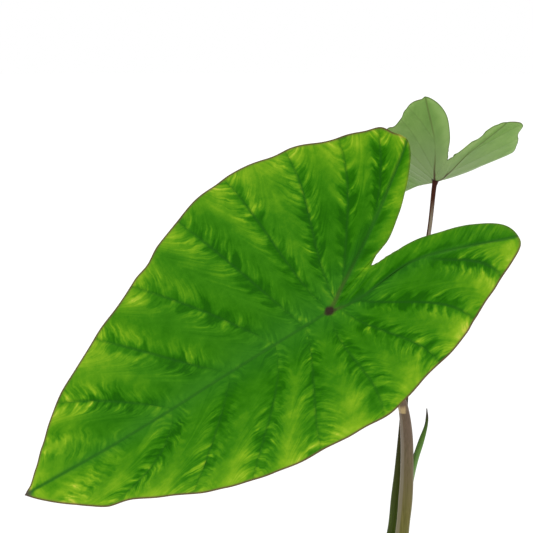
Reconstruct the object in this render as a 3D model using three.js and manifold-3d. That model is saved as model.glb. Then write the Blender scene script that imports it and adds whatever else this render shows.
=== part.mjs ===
// A potted colocasia, an aroid grown for its large veined leaves, in a plain plastic nursery pot.
// Two long-stalked heart-shaped leaves and the rolled tip of a third rise from one corm in soil.
// Units are millimetres, +Z is up, and the origin is the middle of the pot's underside.
// The large leaf faces -Y and hangs towards -X, and the small leaf points away along +Y.
import * as THREE from 'three';
import { mergeVertices } from 'three/addons/utils/BufferGeometryUtils.js';
import Module from 'manifold-3d';

const wasm = await Module();
wasm.setup();

const FULL_TURN = 2 * Math.PI;

// Clearance left between pieces that touch.
const GAP = 0.3;

// The pot: a tapered moulded wall, a stepped rim band and a foot ring round a recess that drains.
const POT = {
  height: 140,
  baseRadius: 54,
  topRadius: 73,
  wall: 2.4,
  rimBand: 16,
  rimStep: 3,
  lipRound: 1.2,
  footWidth: 8,
  recess: 2,
  centreRadius: 18,
  floor: 4.4,
  holeRadius: 5,
  holeRing: 32,
  holes: 6,
  segments: 48,
};

// The soil fills the pot to below the rim and has one plain hole for the corm.
const SOIL = { surface: 125, relief: 1.4, rings: 5 };

// The corm is the ringed swollen stem base that carries the stalks, with its crown out of the soil.
const CORM = { top: 128, bottom: 78, radius: 16, crownRadius: 14.4, tailRadius: 7, scars: 4, scarStep: 0.5 };

// Thin parts of the plant.
const STALK_SIDES = 14;
const BLADE_THICKNESS = 0.9;

// The stalk of the large leaf: [x, y, z, radius] from the corm up. It bows forward to the blade.
const STALK_1 = [
  [2.5, -2, CORM.top + GAP, 8.8],
  [5.9, -2.5, 160, 6.6],
  [10.1, -3, 195, 4.8],
  [12.9, -3.2, 226, 3.8],
  [14.8, -4.5, 258, 3.8],
  [13.9, -7.5, 284, 3.4],
  [10.9, -12, 303, 2.9],
  [2, -22, 325, 2.7],
  [-14, -38, 346, 2.6],
];

// The stalk of the small leaf, behind the first. Its foot clasps the first one's foot.
const STALK_2 = [
  [-5, 3, CORM.top + GAP, 7.6],
  [-2, 4.8, 160, 5.5],
  [3, 6.6, 195, 3.7],
  [7.9, 8, 221, 2.9],
  [11.7, 9, 256, 2.7],
  [13.9, 10.5, 286, 2.3],
  [14.9, 12, 304, 2.1],
  [21.2, 17, 360, 1.5],
  [28.6, 21, 399, 1.3],
];

// The third leaf, still rolled: it comes out of the first stalk's sheath and ends in a fine tip.
const SPEAR = [
  [2.5, 1.5, CORM.top + GAP, 3],
  [5.6, 1.2, 160, 2.8],
  [9.8, 0.3, 195, 2.5],
  [13.1, -0.4, 226, 2.3],
  [17, -1.3, 252, 2.1],
  [20.1, -1, 266, 1.8],
  [23.4, 0.5, 277, 1.4],
  [26.4, 2, 286, 0.8],
  [27, 3.5, 296, 0.3],
];
const SPEAR_SIDES = 12;
const SPEAR_SCROLL = 0.22;

// How a leaf is described. place: the attachment of its stalk, the direction to its tip and the
// direction to its left margin. form: the rise of the blade over the flat leaf. fold and foldRadius
// raise both sides, lift and heel raise the lobes behind the attachment, droop lowers the tip, and
// twist and lean turn one side up and the other down. The rest are points of the flat leaf, given by
// the distance to the tip and to the left. Side veins leave the midrib and then the costa, the main
// vein of a lobe, and end in the margin at veinEnds. bends says how far each one bows back from its
// straight line, at its first and its last third. Those on the costa's other side end at sinusEnds.
const LARGE_LEAF = {
  place: { attachment: [-33, -55, 364], toTip: [-0.854, -0.126, -0.505], toLeft: [-0.434, 0.708, 0.557] },
  form: { fold: 0.375, foldRadius: 15, lift: 0.295, heel: 0, droop: 0.031, twist: 0, lean: 0 },
  tip: [193, 4],
  midrib: [[140, 1], [101, 0], [64, 0], [35, 0], [16, 0], [0, 0]],
  notch: [-33, 9],
  left: {
    costa: [[-6, 4], [-15, 10], [-45, 26]],
    veinEnds: [[173, 23], [155, 39], [119, 58], [86, 71], [45, 89], [10, 96], [-28, 90], [-56, 75], [-77, 64]],
    bends: [[3, 3], [5, 4], [0, 1], [5, 3], [1, 2], [-5, 3], [-6, 7], [0, 9], [4, 4]],
    lobe: [-86, 47],
    sinusEnds: [[-38, 12], [-51, 16], [-75, 31]],
  },
  right: {
    costa: [[-6, -2], [-16, -4], [-57, -9]],
    veinEnds: [[172, -20], [153, -37], [111, -66], [82, -82], [45, -91], [10, -93], [-28, -84], [-55, -74],
      [-78, -65]],
    bends: [[3, 3], [14, 13], [2, 2], [9, 1], [3, -3], [-8, 9], [-4, 10], [3, 14], [2, 11]],
    lobe: [-97, -52],
    sinusEnds: [[-40, 7], [-54, 5], [-86, -17]],
  },
  columns: [0, 0.08, 0.36, 0.64, 0.92],
  rows: [0, 0.035, 0.12, 0.27, 0.44, 0.62, 0.8, 0.93, 1],
  sinusRows: [0, 0.1, 0.4, 0.75, 1],
  ribs: { midrib: 1.8, side: 0.8 },
  relief: { quilt: 0.045, scallop: 0.5, wave: 0.7 },
};

const SMALL_LEAF = {
  place: { attachment: [32.4, 25, 428.9], toTip: [-0.194, 0.975, -0.085], toLeft: [0.956, 0.175, -0.232] },
  form: { fold: 0.49, foldRadius: 1.2, lift: 0.878, heel: 0.354, droop: 0.24, twist: 0.234, lean: 0.324 },
  tip: [97, 0],
  midrib: [[70, 0], [50, 0], [32, 0], [17, 0], [7, 0], [0, 0]],
  notch: [-23.3, 2],
  left: {
    costa: [[-3, 2], [-8, 4], [-26, 9]],
    veinEnds: [[86, 12], [75, 21], [59, 30], [45, 35], [29.5, 38.5], [13, 42.5], [-12, 38.8], [-26, 35.2],
      [-38.5, 31]],
    bends: [[1, 1], [1, 1], [2, 2], [2, 2], [2, 2], [2, 2], [1, 3], [1, 3], [1, 1]],
    lobe: [-42.3, 21],
    sinusEnds: [[-22.6, 2.4], [-28.5, 2], [-42.3, 14.3]],
  },
  right: {
    costa: [[-3, -2], [-8, -4], [-26, -11]],
    veinEnds: [[86, -12], [75, -21], [58, -32], [42, -39], [22, -45], [1.7, -47], [-12.7, -39.8],
      [-25.2, -35.6], [-32.5, -35.5]],
    bends: [[1, 1], [1, 1], [2, 2], [2, 2], [2, 2], [2, 2], [1, 3], [1, 3], [1, 1]],
    lobe: [-41.2, -28.8],
    sinusEnds: [[-23.2, 0], [-26, -3.8], [-40.1, -14.2]],
  },
  columns: [0, 0.1, 0.5, 0.9],
  rows: [0, 0.05, 0.2, 0.45, 0.7, 0.9, 1],
  sinusRows: [0, 0.15, 0.6, 1],
  ribs: { midrib: 0.6, side: 0.35 },
  relief: { quilt: 0.045, scallop: 0.4, wave: 0.6 },
};

// Colour, roughness and metalness of each kind of surface.
const FINISHES = {
  pot: { color: '#b0623f', roughness: 0.62, metalness: 0 },
  soil: { color: '#3b2b20', roughness: 0.95, metalness: 0 },
  corm: { color: '#6d4d38', roughness: 0.85, metalness: 0 },
  stalk: { color: '#6f5d4b', roughness: 0.5, metalness: 0 },
  smallStalk: { color: '#43392a', roughness: 0.5, metalness: 0 },
  leaf: { color: '#3f8a1c', roughness: 0.5, metalness: 0 },
  smallLeaf: { color: '#7f9d5c', roughness: 0.6, metalness: 0 },
  spear: { color: '#5a8443', roughness: 0.55, metalness: 0 },
};

const vector = (values) => new THREE.Vector3(...values);

/** Joins shared vertices, drops triangles that have no area, and gives positions and triangles alone. */
function weld(geometry) {
  const bare = new THREE.BufferGeometry();
  bare.setAttribute('position', geometry.getAttribute('position').clone());
  bare.setIndex(geometry.getIndex());
  const merged = mergeVertices(bare, 1e-3);
  const corners = merged.getIndex().array;
  const kept = [];
  for (let i = 0; i < corners.length; i += 3) {
    const [a, b, c] = [corners[i], corners[i + 1], corners[i + 2]];
    if (a !== b && b !== c && c !== a) {
      kept.push(a, b, c);
    }
  }
  merged.setIndex(kept);
  merged.computeVertexNormals();
  return merged;
}

/** A closed mesh as a solid that can be joined and cut. */
function toSolid(geometry) {
  const mesh = weld(geometry);
  return new wasm.Manifold(new wasm.Mesh({
    numProp: 3,
    vertProperties: new Float32Array(mesh.getAttribute('position').array),
    triVerts: new Uint32Array(mesh.getIndex().array),
  }));
}

/** A solid as a mesh with positions and triangles. */
function fromSolid(solid) {
  const mesh = solid.getMesh();
  const geometry = new THREE.BufferGeometry();
  geometry.setAttribute('position', new THREE.BufferAttribute(new Float32Array(mesh.vertProperties), 3));
  geometry.setIndex(Array.from(mesh.triVerts));
  geometry.computeVertexNormals();
  return geometry;
}

/** A profile of [radius, height] points turned round the Z axis. */
function turned(profile, segments) {
  const points = profile.map(([radius, height]) => new THREE.Vector2(radius, height));
  const geometry = new THREE.LatheGeometry(points, segments);
  geometry.rotateX(Math.PI / 2);
  return weld(geometry);
}

/** Radius of the pot's inner wall at a height. */
function potInnerRadius(height) {
  const slope = (POT.topRadius - POT.baseRadius) / POT.height;
  return POT.baseRadius + slope * height - POT.wall;
}

/** The pot, with its drainage holes cut through the floor. */
function makePot() {
  const outer = (height) => potInnerRadius(height) + POT.wall;
  const bandFoot = POT.height - POT.rimBand;
  const footInner = POT.baseRadius - POT.footWidth;
  const profile = [
    [0, 0],
    [POT.centreRadius, 0],
    [POT.centreRadius + 1, POT.recess],
    [footInner - 1, POT.recess],
    [footInner, 0],
    [POT.baseRadius - 1, 0],
    [outer(1), 1],
    [outer(bandFoot - 1), bandFoot - 1],
    [outer(bandFoot) + POT.rimStep - 0.6, bandFoot],
    [outer(bandFoot) + POT.rimStep, bandFoot + 1],
    [outer(POT.height) + POT.rimStep, POT.height - POT.lipRound],
    [outer(POT.height) + POT.rimStep - POT.lipRound, POT.height],
    [potInnerRadius(POT.height) + POT.lipRound, POT.height],
    [potInnerRadius(POT.height), POT.height - POT.lipRound],
    [potInnerRadius(POT.floor), POT.floor],
    [0, POT.floor],
  ];
  let solid = toSolid(turned(profile, POT.segments));
  for (let i = 0; i < POT.holes; i += 1) {
    const angle = (i / POT.holes) * FULL_TURN;
    const hole = new THREE.CylinderGeometry(POT.holeRadius, POT.holeRadius, 4 * POT.floor, 12);
    hole.rotateX(Math.PI / 2);
    hole.translate(POT.holeRing * Math.cos(angle), POT.holeRing * Math.sin(angle), 0);
    solid = solid.subtract(toSolid(hole));
  }
  return fromSolid(solid);
}

/** Height of the soil's lumps at a place, nothing at the corm's hole and at the wall. */
function soilRelief(x, y) {
  const radius = Math.hypot(x, y);
  const inner = CORM.radius + GAP;
  const outer = potInnerRadius(SOIL.surface) - GAP;
  const across = THREE.MathUtils.clamp((radius - inner) / (outer - inner), 0, 1);
  const lumps = Math.sin(0.21 * x + 0.9) * Math.cos(0.17 * y - 0.4) + 0.6 * Math.sin(0.33 * x - 0.29 * y);
  return SOIL.relief * lumps * Math.sin(Math.PI * across);
}

/** The soil, with lumps on its face and the plain hole that the corm stands in. */
function makeSoil() {
  const hole = CORM.radius + GAP;
  const bottom = POT.floor + GAP;
  const wallTop = potInnerRadius(SOIL.surface) - GAP;
  const profile = [[0, bottom], [potInnerRadius(bottom) - GAP, bottom]];
  for (let ring = 0; ring <= SOIL.rings; ring += 1) {
    profile.push([wallTop + (hole - wallTop) * (ring / SOIL.rings), SOIL.surface]);
  }
  profile.push([hole, CORM.bottom - GAP], [0, CORM.bottom - GAP]);
  const geometry = turned(profile, POT.segments);
  const places = geometry.getAttribute('position');
  for (let i = 0; i < places.count; i += 1) {
    if (Math.abs(places.getZ(i) - SOIL.surface) < 0.01) {
      places.setZ(i, SOIL.surface + soilRelief(places.getX(i), places.getY(i)));
    }
  }
  return geometry;
}

/** The corm: a ringed tapering body with a flat crown. */
function makeCorm() {
  const profile = [[0, CORM.bottom], [CORM.tailRadius, CORM.bottom]];
  const ringed = CORM.top - 4 - CORM.bottom;
  for (let scar = 1; scar <= CORM.scars; scar += 1) {
    const share = scar / CORM.scars;
    const height = CORM.bottom + ringed * share;
    const radius = CORM.tailRadius + (CORM.radius - CORM.tailRadius) * Math.sqrt(share);
    profile.push([radius - CORM.scarStep, height - 1.2], [radius, height]);
  }
  profile.push([CORM.crownRadius, CORM.top], [0, CORM.top]);
  return turned(profile, 28);
}

/** A mesh from rings of points of equal number, closed by a flat fan at each end. */
function lofted(rings) {
  const sides = rings[0].length;
  const points = rings.flat();
  const triangles = [];
  for (let ring = 0; ring + 1 < rings.length; ring += 1) {
    for (let side = 0; side < sides; side += 1) {
      const a = ring * sides + side;
      const b = ring * sides + ((side + 1) % sides);
      triangles.push(a, b, b + sides, a, b + sides, a + sides);
    }
  }
  const last = (rings.length - 1) * sides;
  const centreOf = (ring) => ring.reduce((sum, p) => sum.add(p), new THREE.Vector3()).divideScalar(sides);
  const foot = points.push(centreOf(rings[0])) - 1;
  const head = points.push(centreOf(rings[rings.length - 1])) - 1;
  for (let side = 0; side < sides; side += 1) {
    const next = (side + 1) % sides;
    triangles.push(foot, next, side, head, last + side, last + next);
  }
  const geometry = new THREE.BufferGeometry();
  geometry.setAttribute('position', new THREE.Float32BufferAttribute(points.flatMap((p) => p.toArray()), 3));
  geometry.setIndex(triangles);
  return geometry;
}

/**
 * A stalk along a smooth path. nodes are [x, y, z, radius]; steps is the number of lengths; grow is
 * added to every radius; topFacing is the direction that the cut top faces; outline shapes a section.
 */
function stalk(nodes, { steps, sides, grow = 0, topFacing = null, outline = () => 1 }) {
  const path = new THREE.CatmullRomCurve3(nodes.map(([x, y, z]) => vector([x, y, z])), false, 'centripetal');
  const widths = new THREE.SplineCurve(nodes.map((node, i) => new THREE.Vector2(i, node[3])));
  const rings = [];
  for (let step = 0; step <= steps; step += 1) {
    const along = step / steps;
    const centre = path.getPoint(along);
    const radius = widths.getPoint(along).y + grow;
    let facing = path.getTangent(along);
    if (step === 0) {
      facing = vector([0, 0, 1]);
    } else if (step === steps && topFacing) {
      facing = topFacing.clone();
    }
    const across = vector([1, 0, 0]).addScaledVector(facing, -facing.x).normalize();
    const beside = facing.clone().cross(across);
    const ring = [];
    for (let side = 0; side < sides; side += 1) {
      const angle = (side / sides) * FULL_TURN;
      const reach = radius * outline(side / sides, along);
      ring.push(centre.clone()
        .addScaledVector(across, reach * Math.cos(angle))
        .addScaledVector(beside, reach * Math.sin(angle)));
    }
    rings.push(ring);
  }
  return lofted(rings);
}

/** The three unit directions of a leaf: to its tip, to its left margin and out of its upper face. */
function leafAxes(leaf) {
  const toTip = vector(leaf.place.toTip).normalize();
  const toLeft = vector(leaf.place.toLeft);
  toLeft.addScaledVector(toTip, -toLeft.dot(toTip)).normalize();
  return { toTip, toLeft, upper: toLeft.clone().cross(toTip) };
}

/** The path of a leaf's stalk, from the corm to just under the ribs of its blade. */
function stalkPath(nodes, leaf, topRadius) {
  const under = BLADE_THICKNESS / 2 + leaf.ribs.midrib + GAP;
  const end = vector(leaf.place.attachment).addScaledVector(leafAxes(leaf).upper, -under);
  return [...nodes, [...end.toArray(), topRadius]];
}

/** Rise of a blade over the flat leaf at a place given along and across its midrib. */
function bladeRise(form, along, across) {
  const behind = Math.min(along, 0);
  const ahead = Math.max(along, 0);
  const folded = form.fold * (Math.hypot(across, form.foldRadius) - form.foldRadius);
  const lobes = form.lift * behind ** 2 / 100 + form.heel * (Math.hypot(along, 8) - along - 8) / 2;
  const turn = form.twist * along * across / 100 + form.lean * across * Math.abs(across) / 100;
  return folded + lobes + turn - form.droop * ahead ** 2 / 200;
}

/** A smooth curve through flat points, as a function of the station: whole numbers are the points. */
function throughStations(points) {
  const curve = new THREE.SplineCurve(points.map(([x, y]) => new THREE.Vector2(x, y)));
  return (station) => curve.getPoint(station / (points.length - 1));
}

/** The bend of veins that run straight. */
const unbent = () => new THREE.Vector2(0, 0);

/** Distance from one side vein to the next, where they leave the axis and where they end. */
function veinSpacing(axis, edge, vein, last) {
  const next = Math.min(vein + 1, last);
  const before = next - 1;
  return { start: axis(before).distanceTo(axis(next)), end: edge(before).distanceTo(edge(next)) };
}

/** Adds one patch of a blade: side veins at whole stations, from its axis out to its edge. */
function addPatch(leaf, axes, sheet, { axis, edge, bend, first, last, rows, side, wave }) {
  const stations = [];
  for (let station = first; station < last; station += 1) {
    stations.push(...leaf.columns.map((share) => station + share));
  }
  stations.push(last);
  const grid = stations.map((station) => {
    const start = axis(station);
    const between = Math.sin(Math.PI * station) ** 2;
    const spacing = veinSpacing(axis, edge, Math.floor(station), last);
    const vein = edge(station).clone().sub(start);
    const length = vein.length();
    if (station >= 1 && station <= last - 1) {
      vein.setLength(length + leaf.relief.scallop * between);
    }
    const back = new THREE.Vector2(-vein.y, vein.x).normalize().multiplyScalar(side);
    const { x: early, y: late } = bend(station);
    return rows.map((row) => {
      const flat = start.clone()
        .addScaledVector(vein, row)
        .addScaledVector(back, 3 * row * (1 - row) * (early * (1 - row) + late * row));
      const gap = THREE.MathUtils.lerp(spacing.start, spacing.end, row);
      const width = Math.min(gap, 0.4 * length);
      const quilt = leaf.relief.quilt * width * between * Math.min(1, row / 0.15) * (1 - 0.5 * row);
      const ripple = wave * row ** 3 * Math.sin(Math.PI * (station + 0.5 * side)) * Math.min(1, length / 60);
      const rise = bladeRise(leaf.form, flat.x, flat.y) + quilt + ripple;
      const sideRib = Number.isInteger(station) ? leaf.ribs.side * (1 - row) ** 0.6 * Math.min(1, gap / 15) : 0;
      const mainRib = row === 0 ? leaf.ribs.midrib * (1 - 0.75 * Math.abs(flat.x) / leaf.tip[0]) : 0;
      const place = vector(leaf.place.attachment)
        .addScaledVector(axes.toTip, flat.x)
        .addScaledVector(axes.toLeft, flat.y)
        .addScaledVector(axes.upper, rise);
      return sheet.point(place, Math.max(sideRib, mainRib));
    });
  });
  for (let i = 0; i + 1 < grid.length; i += 1) {
    for (let j = 0; j + 1 < rows.length; j += 1) {
      const [a, b, c, d] = [grid[i][j], grid[i + 1][j], grid[i + 1][j + 1], grid[i][j + 1]];
      sheet.triangle(a, b, c, side);
      sheet.triangle(a, c, d, side);
    }
  }
}

/** A thin sheet gathered point by point, which is given its thickness and ribs at the end. */
class Sheet {
  constructor() {
    this.places = [];
    this.ribs = [];
    this.known = new Map();
    this.triangles = [];
  }

  /** Number of the point at a place; points at the same place are one. */
  point(place, rib) {
    const key = place.toArray().map((value) => Math.round(value * 1000)).join(' ');
    if (!this.known.has(key)) {
      this.known.set(key, this.places.push(place) - 1);
      this.ribs.push(rib);
    }
    const number = this.known.get(key);
    this.ribs[number] = Math.max(this.ribs[number], rib);
    return number;
  }

  /** Adds a triangle unless two of its corners are one point. A side of -1 turns it over. */
  triangle(a, b, c, side) {
    if (a !== b && b !== c && c !== a) {
      this.triangles.push(side > 0 ? [a, b, c] : [a, c, b]);
    }
  }

  /** Closed mesh: the sheet moved up half its thickness, and down that much and by its ribs. */
  thickened(thickness) {
    const open = new THREE.BufferGeometry();
    const flatPlaces = this.places.flatMap((place) => place.toArray());
    open.setAttribute('position', new THREE.Float32BufferAttribute(flatPlaces, 3));
    open.setIndex(this.triangles.flat());
    open.computeVertexNormals();
    const normals = open.getAttribute('normal');
    const upper = [];
    const lower = [];
    this.places.forEach((place, i) => {
      const normal = new THREE.Vector3().fromBufferAttribute(normals, i);
      upper.push(place.clone().addScaledVector(normal, thickness / 2));
      lower.push(place.clone().addScaledVector(normal, -thickness / 2 - this.ribs[i]));
    });
    const count = this.places.length;
    const corners = [];
    const edges = new Map();
    for (const [a, b, c] of this.triangles) {
      corners.push(a, b, c, a + count, c + count, b + count);
      for (const [from, to] of [[a, b], [b, c], [c, a]]) {
        edges.set(`${from} ${to}`, [from, to]);
      }
    }
    for (const [from, to] of edges.values()) {
      if (!edges.has(`${to} ${from}`)) {
        corners.push(to, from, from + count, to, from + count, to + count);
      }
    }
    const geometry = new THREE.BufferGeometry();
    const places = [...upper, ...lower].flatMap((place) => place.toArray());
    geometry.setAttribute('position', new THREE.Float32BufferAttribute(places, 3));
    geometry.setIndex(corners);
    geometry.computeVertexNormals();
    return geometry;
  }
}

/** The blade of a leaf: for each half, a patch outside its costa and one between costa and sinus. */
function makeBlade(leaf) {
  const axes = leafAxes(leaf);
  const sheet = new Sheet();
  const attached = leaf.midrib.length;
  const midrib = throughStations([leaf.tip, ...leaf.midrib]);
  for (const [half, side] of [[leaf.left, 1], [leaf.right, -1]]) {
    const last = half.veinEnds.length + 1;
    const costa = throughStations([leaf.midrib[attached - 1], ...half.costa, half.lobe]);
    const axis = (station) => (station <= attached ? midrib(station) : costa(station - attached));
    const bend = throughStations([[0, 0], ...half.bends, [0, 0]]);
    const edge = throughStations([
      leaf.tip, ...half.veinEnds, half.lobe, ...half.sinusEnds.toReversed(), leaf.notch,
    ]);
    const sinusEdge = (station) => edge(2 * last - station);
    const { wave } = leaf.relief;
    addPatch(leaf, axes, sheet, { axis, edge, bend, first: 0, last, rows: leaf.rows, side, wave });
    addPatch(leaf, axes, sheet, {
      axis, edge: sinusEdge, bend: unbent, first: attached, last, rows: leaf.sinusRows, side: -side, wave: 0,
    });
  }
  return sheet.thickened(BLADE_THICKNESS);
}

/** Outline of the rolled leaf: a scroll whose outer edge laps over the inner, more so at mid length. */
function scroll(turn, along) {
  return 1 + SPEAR_SCROLL * (turn - 0.5) * Math.sin(Math.PI * along);
}

/** The two stalks and the rolled leaf, each cut clear of what it clasps. */
function makeStalks() {
  const first = stalkPath(STALK_1, LARGE_LEAF, 2.6);
  const second = stalkPath(STALK_2, SMALL_LEAF, 1.4);
  const shape1 = { steps: 30, sides: STALK_SIDES, topFacing: leafAxes(LARGE_LEAF).upper };
  const shape2 = { steps: 24, sides: STALK_SIDES, topFacing: leafAxes(SMALL_LEAF).upper };
  const spearShape = { steps: 24, sides: SPEAR_SIDES, outline: scroll };
  const spear = stalk(SPEAR, spearShape);
  const clearOfSpear = toSolid(stalk(SPEAR, { ...spearShape, grow: GAP }));
  const clearOfFirst = toSolid(stalk(first, { ...shape1, grow: GAP }));
  const stalk1 = toSolid(stalk(first, shape1)).subtract(clearOfSpear);
  const stalk2 = toSolid(stalk(second, shape2)).subtract(clearOfSpear).subtract(clearOfFirst);
  return { spear: weld(spear), stalk1: fromSolid(stalk1), stalk2: fromSolid(stalk2) };
}

/** A named mesh with its own material. */
function piece(name, geometry, finish) {
  const mesh = new THREE.Mesh(geometry, new THREE.MeshStandardMaterial(finish));
  mesh.name = name;
  return mesh;
}

const plant = new THREE.Group();
const { spear, stalk1, stalk2 } = makeStalks();
plant.add(
  piece('corm', makeCorm(), FINISHES.corm),
  piece('petiole_1', stalk1, FINISHES.stalk),
  piece('petiole_2', stalk2, FINISHES.smallStalk),
  piece('leaf_1_blade', makeBlade(LARGE_LEAF), FINISHES.leaf),
  piece('leaf_2_blade', makeBlade(SMALL_LEAF), FINISHES.smallLeaf),
  piece('new_leaf', spear, FINISHES.spear),
);

const colocasia = new THREE.Group();
colocasia.add(piece('pot', makePot(), FINISHES.pot), piece('soil', makeSoil(), FINISHES.soil), plant);

export default colocasia;
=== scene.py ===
"""Dress of a potted colocasia: veined leaf blades, stalks, a rolled leaf, corm, potting mix and pot.

Lengths are given in millimetres and meshes are made in metres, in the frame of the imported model:
+Z is up, the origin is the middle of the pot's underside and the large leaf faces -Y.
"""

import logging
import math
import random
from dataclasses import dataclass, replace
from enum import Enum
from typing import Callable, ClassVar, Iterable, Sequence

import bmesh
import bpy
import numpy as np
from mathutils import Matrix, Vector, noise

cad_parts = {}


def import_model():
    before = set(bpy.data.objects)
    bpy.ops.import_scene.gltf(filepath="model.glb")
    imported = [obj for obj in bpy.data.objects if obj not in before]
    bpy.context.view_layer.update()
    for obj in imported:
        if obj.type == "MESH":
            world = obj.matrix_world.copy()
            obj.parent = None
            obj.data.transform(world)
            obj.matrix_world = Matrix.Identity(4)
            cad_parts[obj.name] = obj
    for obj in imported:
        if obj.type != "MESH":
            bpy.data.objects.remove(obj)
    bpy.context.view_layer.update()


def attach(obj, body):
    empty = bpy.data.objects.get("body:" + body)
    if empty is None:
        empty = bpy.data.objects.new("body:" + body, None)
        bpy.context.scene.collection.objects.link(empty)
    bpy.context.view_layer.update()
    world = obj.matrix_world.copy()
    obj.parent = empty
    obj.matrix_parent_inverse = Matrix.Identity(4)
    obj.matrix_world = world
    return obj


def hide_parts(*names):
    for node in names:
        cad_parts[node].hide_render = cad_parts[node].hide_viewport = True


LOG = logging.getLogger("colocasia")
MM = 0.001
BODY = "root"

Point2 = tuple[float, float]
Point3 = tuple[float, float, float]
Curve2 = Callable[[np.ndarray], np.ndarray]
Tree = bpy.types.NodeTree
Socket = bpy.types.NodeSocket


def linear(colour: str) -> tuple[float, float, float, float]:
    """Turns an sRGB hex colour into a linear one.

    Args:
        colour: six hex digits after a hash sign, such as "#3f8a1c".

    Returns:
        Linear red, green, blue and alpha.
    """
    values = [int(colour[i:i + 2], 16) / 255 for i in (1, 3, 5)]
    turned = [v / 12.92 if v <= 0.04045 else ((v + 0.055) / 1.055) ** 2.4 for v in values]
    return (turned[0], turned[1], turned[2], 1.0)


def add_node(
    tree: Tree,
    kind: str,
    inputs: dict | None = None,
    stops: Sequence[tuple[float, str]] = (),
    **settings,
) -> bpy.types.Node:
    """Adds one shader node with its settings and links.

    Args:
        tree: the material's or the world's node tree.
        kind: the node's type name, without the word ShaderNode that it starts with.
        inputs: by socket name or number, a value or the socket that it is linked from.
        stops: for a colour ramp, its places and sRGB hex colours.
        settings: the node's other properties by name.

    Returns:
        The new node.
    """
    node = tree.nodes.new(f"ShaderNode{kind}")
    for name, value in settings.items():
        setattr(node, name, value)
    for socket, value in (inputs or {}).items():
        if isinstance(value, Socket):
            tree.links.new(value, node.inputs[socket])
        else:
            node.inputs[socket].default_value = value
    for number, (place, colour) in enumerate(stops):
        ramp = node.color_ramp.elements
        stop = ramp[number] if number < 2 else ramp.new(place)
        stop.position = place
        stop.color = linear(colour)
    return node


def new_material(name: str) -> tuple[Tree, bpy.types.Node]:
    """Makes an empty node material.

    Args:
        name: the material's name.

    Returns:
        Its node tree, and its Principled shader already linked to the output.
    """
    material = bpy.data.materials.new(name)
    material.use_nodes = True
    tree = material.node_tree
    tree.nodes.clear()
    shader = add_node(tree, "BsdfPrincipled")
    add_node(tree, "OutputMaterial", {"Surface": shader.outputs[0]})
    return tree, shader


def cubic(
    start: np.ndarray,
    end: np.ndarray,
    leave: np.ndarray,
    arrive: np.ndarray,
    share: np.ndarray | float,
) -> np.ndarray:
    """Finds a place on the cubic curve between two points.

    Args:
        start: the first point.
        end: the last point.
        leave: the speed at the first point.
        arrive: the speed at the last point.
        share: the share of the way, from 0 to 1.

    Returns:
        The place.
    """
    third = 2 * start - 2 * end + leave + arrive
    second = -3 * start + 3 * end - 2 * leave - arrive
    return third * share ** 3 + second * share ** 2 + leave * share + start


def through(points: Sequence[Point2]) -> Curve2:
    """Makes a smooth curve through flat points, the same curve as the solid blade follows.

    Args:
        points: the points, one for each whole station.

    Returns:
        A function from an array of stations to an array of places.
    """
    knots = np.array(points, float)
    knots = np.vstack([knots[0], knots, knots[-1]])

    def place(station: np.ndarray) -> np.ndarray:
        """Finds places on the curve.

        Args:
            station: their stations.

        Returns:
            One place for each station.
        """
        station = np.clip(station, 0, len(points) - 1)
        first = np.minimum(station.astype(int), len(points) - 2)
        before, start, end, after = (knots[first + i] for i in range(4))
        share = (station - first)[..., None]
        return cubic(start, end, (end - before) / 2, (after - start) / 2, share)

    return place


def smooth(value: np.ndarray, low: float, high: float) -> np.ndarray:
    """Rises smoothly from 0 at low to 1 at high."""
    t = np.clip((value - low) / (high - low), 0, 1)
    return t * t * (3 - 2 * t)


def bell(value: np.ndarray, width: float) -> np.ndarray:
    """A bell curve, 1 at nought, that has nearly died away at twice its width."""
    return np.exp(-(value / width) ** 2)


def bow(row: np.ndarray, early: np.ndarray | float, late: np.ndarray | float) -> np.ndarray:
    """How far a side vein bows off its straight line, from how far at its first and last third."""
    return 3 * row * (1 - row) * (early * (1 - row) + late * row)


def distance_to(points: np.ndarray, lines: Iterable[np.ndarray]) -> np.ndarray:
    """Measures how far flat points lie from broken lines.

    Args:
        points: an array of places.
        lines: arrays of places, each one line from point to point.

    Returns:
        The least distance of each point.
    """
    best = np.full(len(points), np.inf)
    for line in lines:
        for start, end in zip(line[:-1], line[1:]):
            along = end - start
            length = max(float(along @ along), 1e-12)
            share = np.clip(((points - start) @ along) / length, 0, 1)
            away = points - start - share[:, None] * along
            best = np.minimum(best, np.einsum("ij,ij->i", away, away))
    return np.sqrt(best)


@dataclass(frozen=True)
class Flush:
    """A pale flush of a blade between two side veins, or a dark one with a negative strength.

    station: where it lies among the side veins, counted from the tip; width: in stations; start and
    end: the shares of the way to the margin where it sets in and fades; strength: its change of the
    level of pale colour.
    """

    station: float
    width: float
    start: float
    strength: float
    end: float = 2.0


@dataclass(frozen=True)
class LeafHalf:
    """One half of a blade: its costa, its side veins and its outline, as flat points in mm.

    vein_ends are the side veins' ends in the margin, and bends says how far each one bows back from
    its straight line, at its first and its last third. sinus_ends are points of the margin between
    the lobe's end and the notch. waves gives the crests and hollows of the margin: stations of the
    outline, and mm outwards. sinus_flush is the pale flush beside the sinus, and vein_tone says how
    dark the side veins are in front of the attachment and in the lobe.
    """

    costa: tuple[Point2, ...]
    vein_ends: tuple[Point2, ...]
    bends: tuple[Point2, ...]
    lobe: Point2
    sinus_ends: tuple[Point2, ...]
    flushes: tuple[Flush, ...] = ()
    waves: tuple[Point2, ...] = ((0.0, 0.0), (1.0, 0.0))
    sinus_flush: float = 0.2
    vein_tone: tuple[float, float] = (1.0, 1.0)


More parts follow.
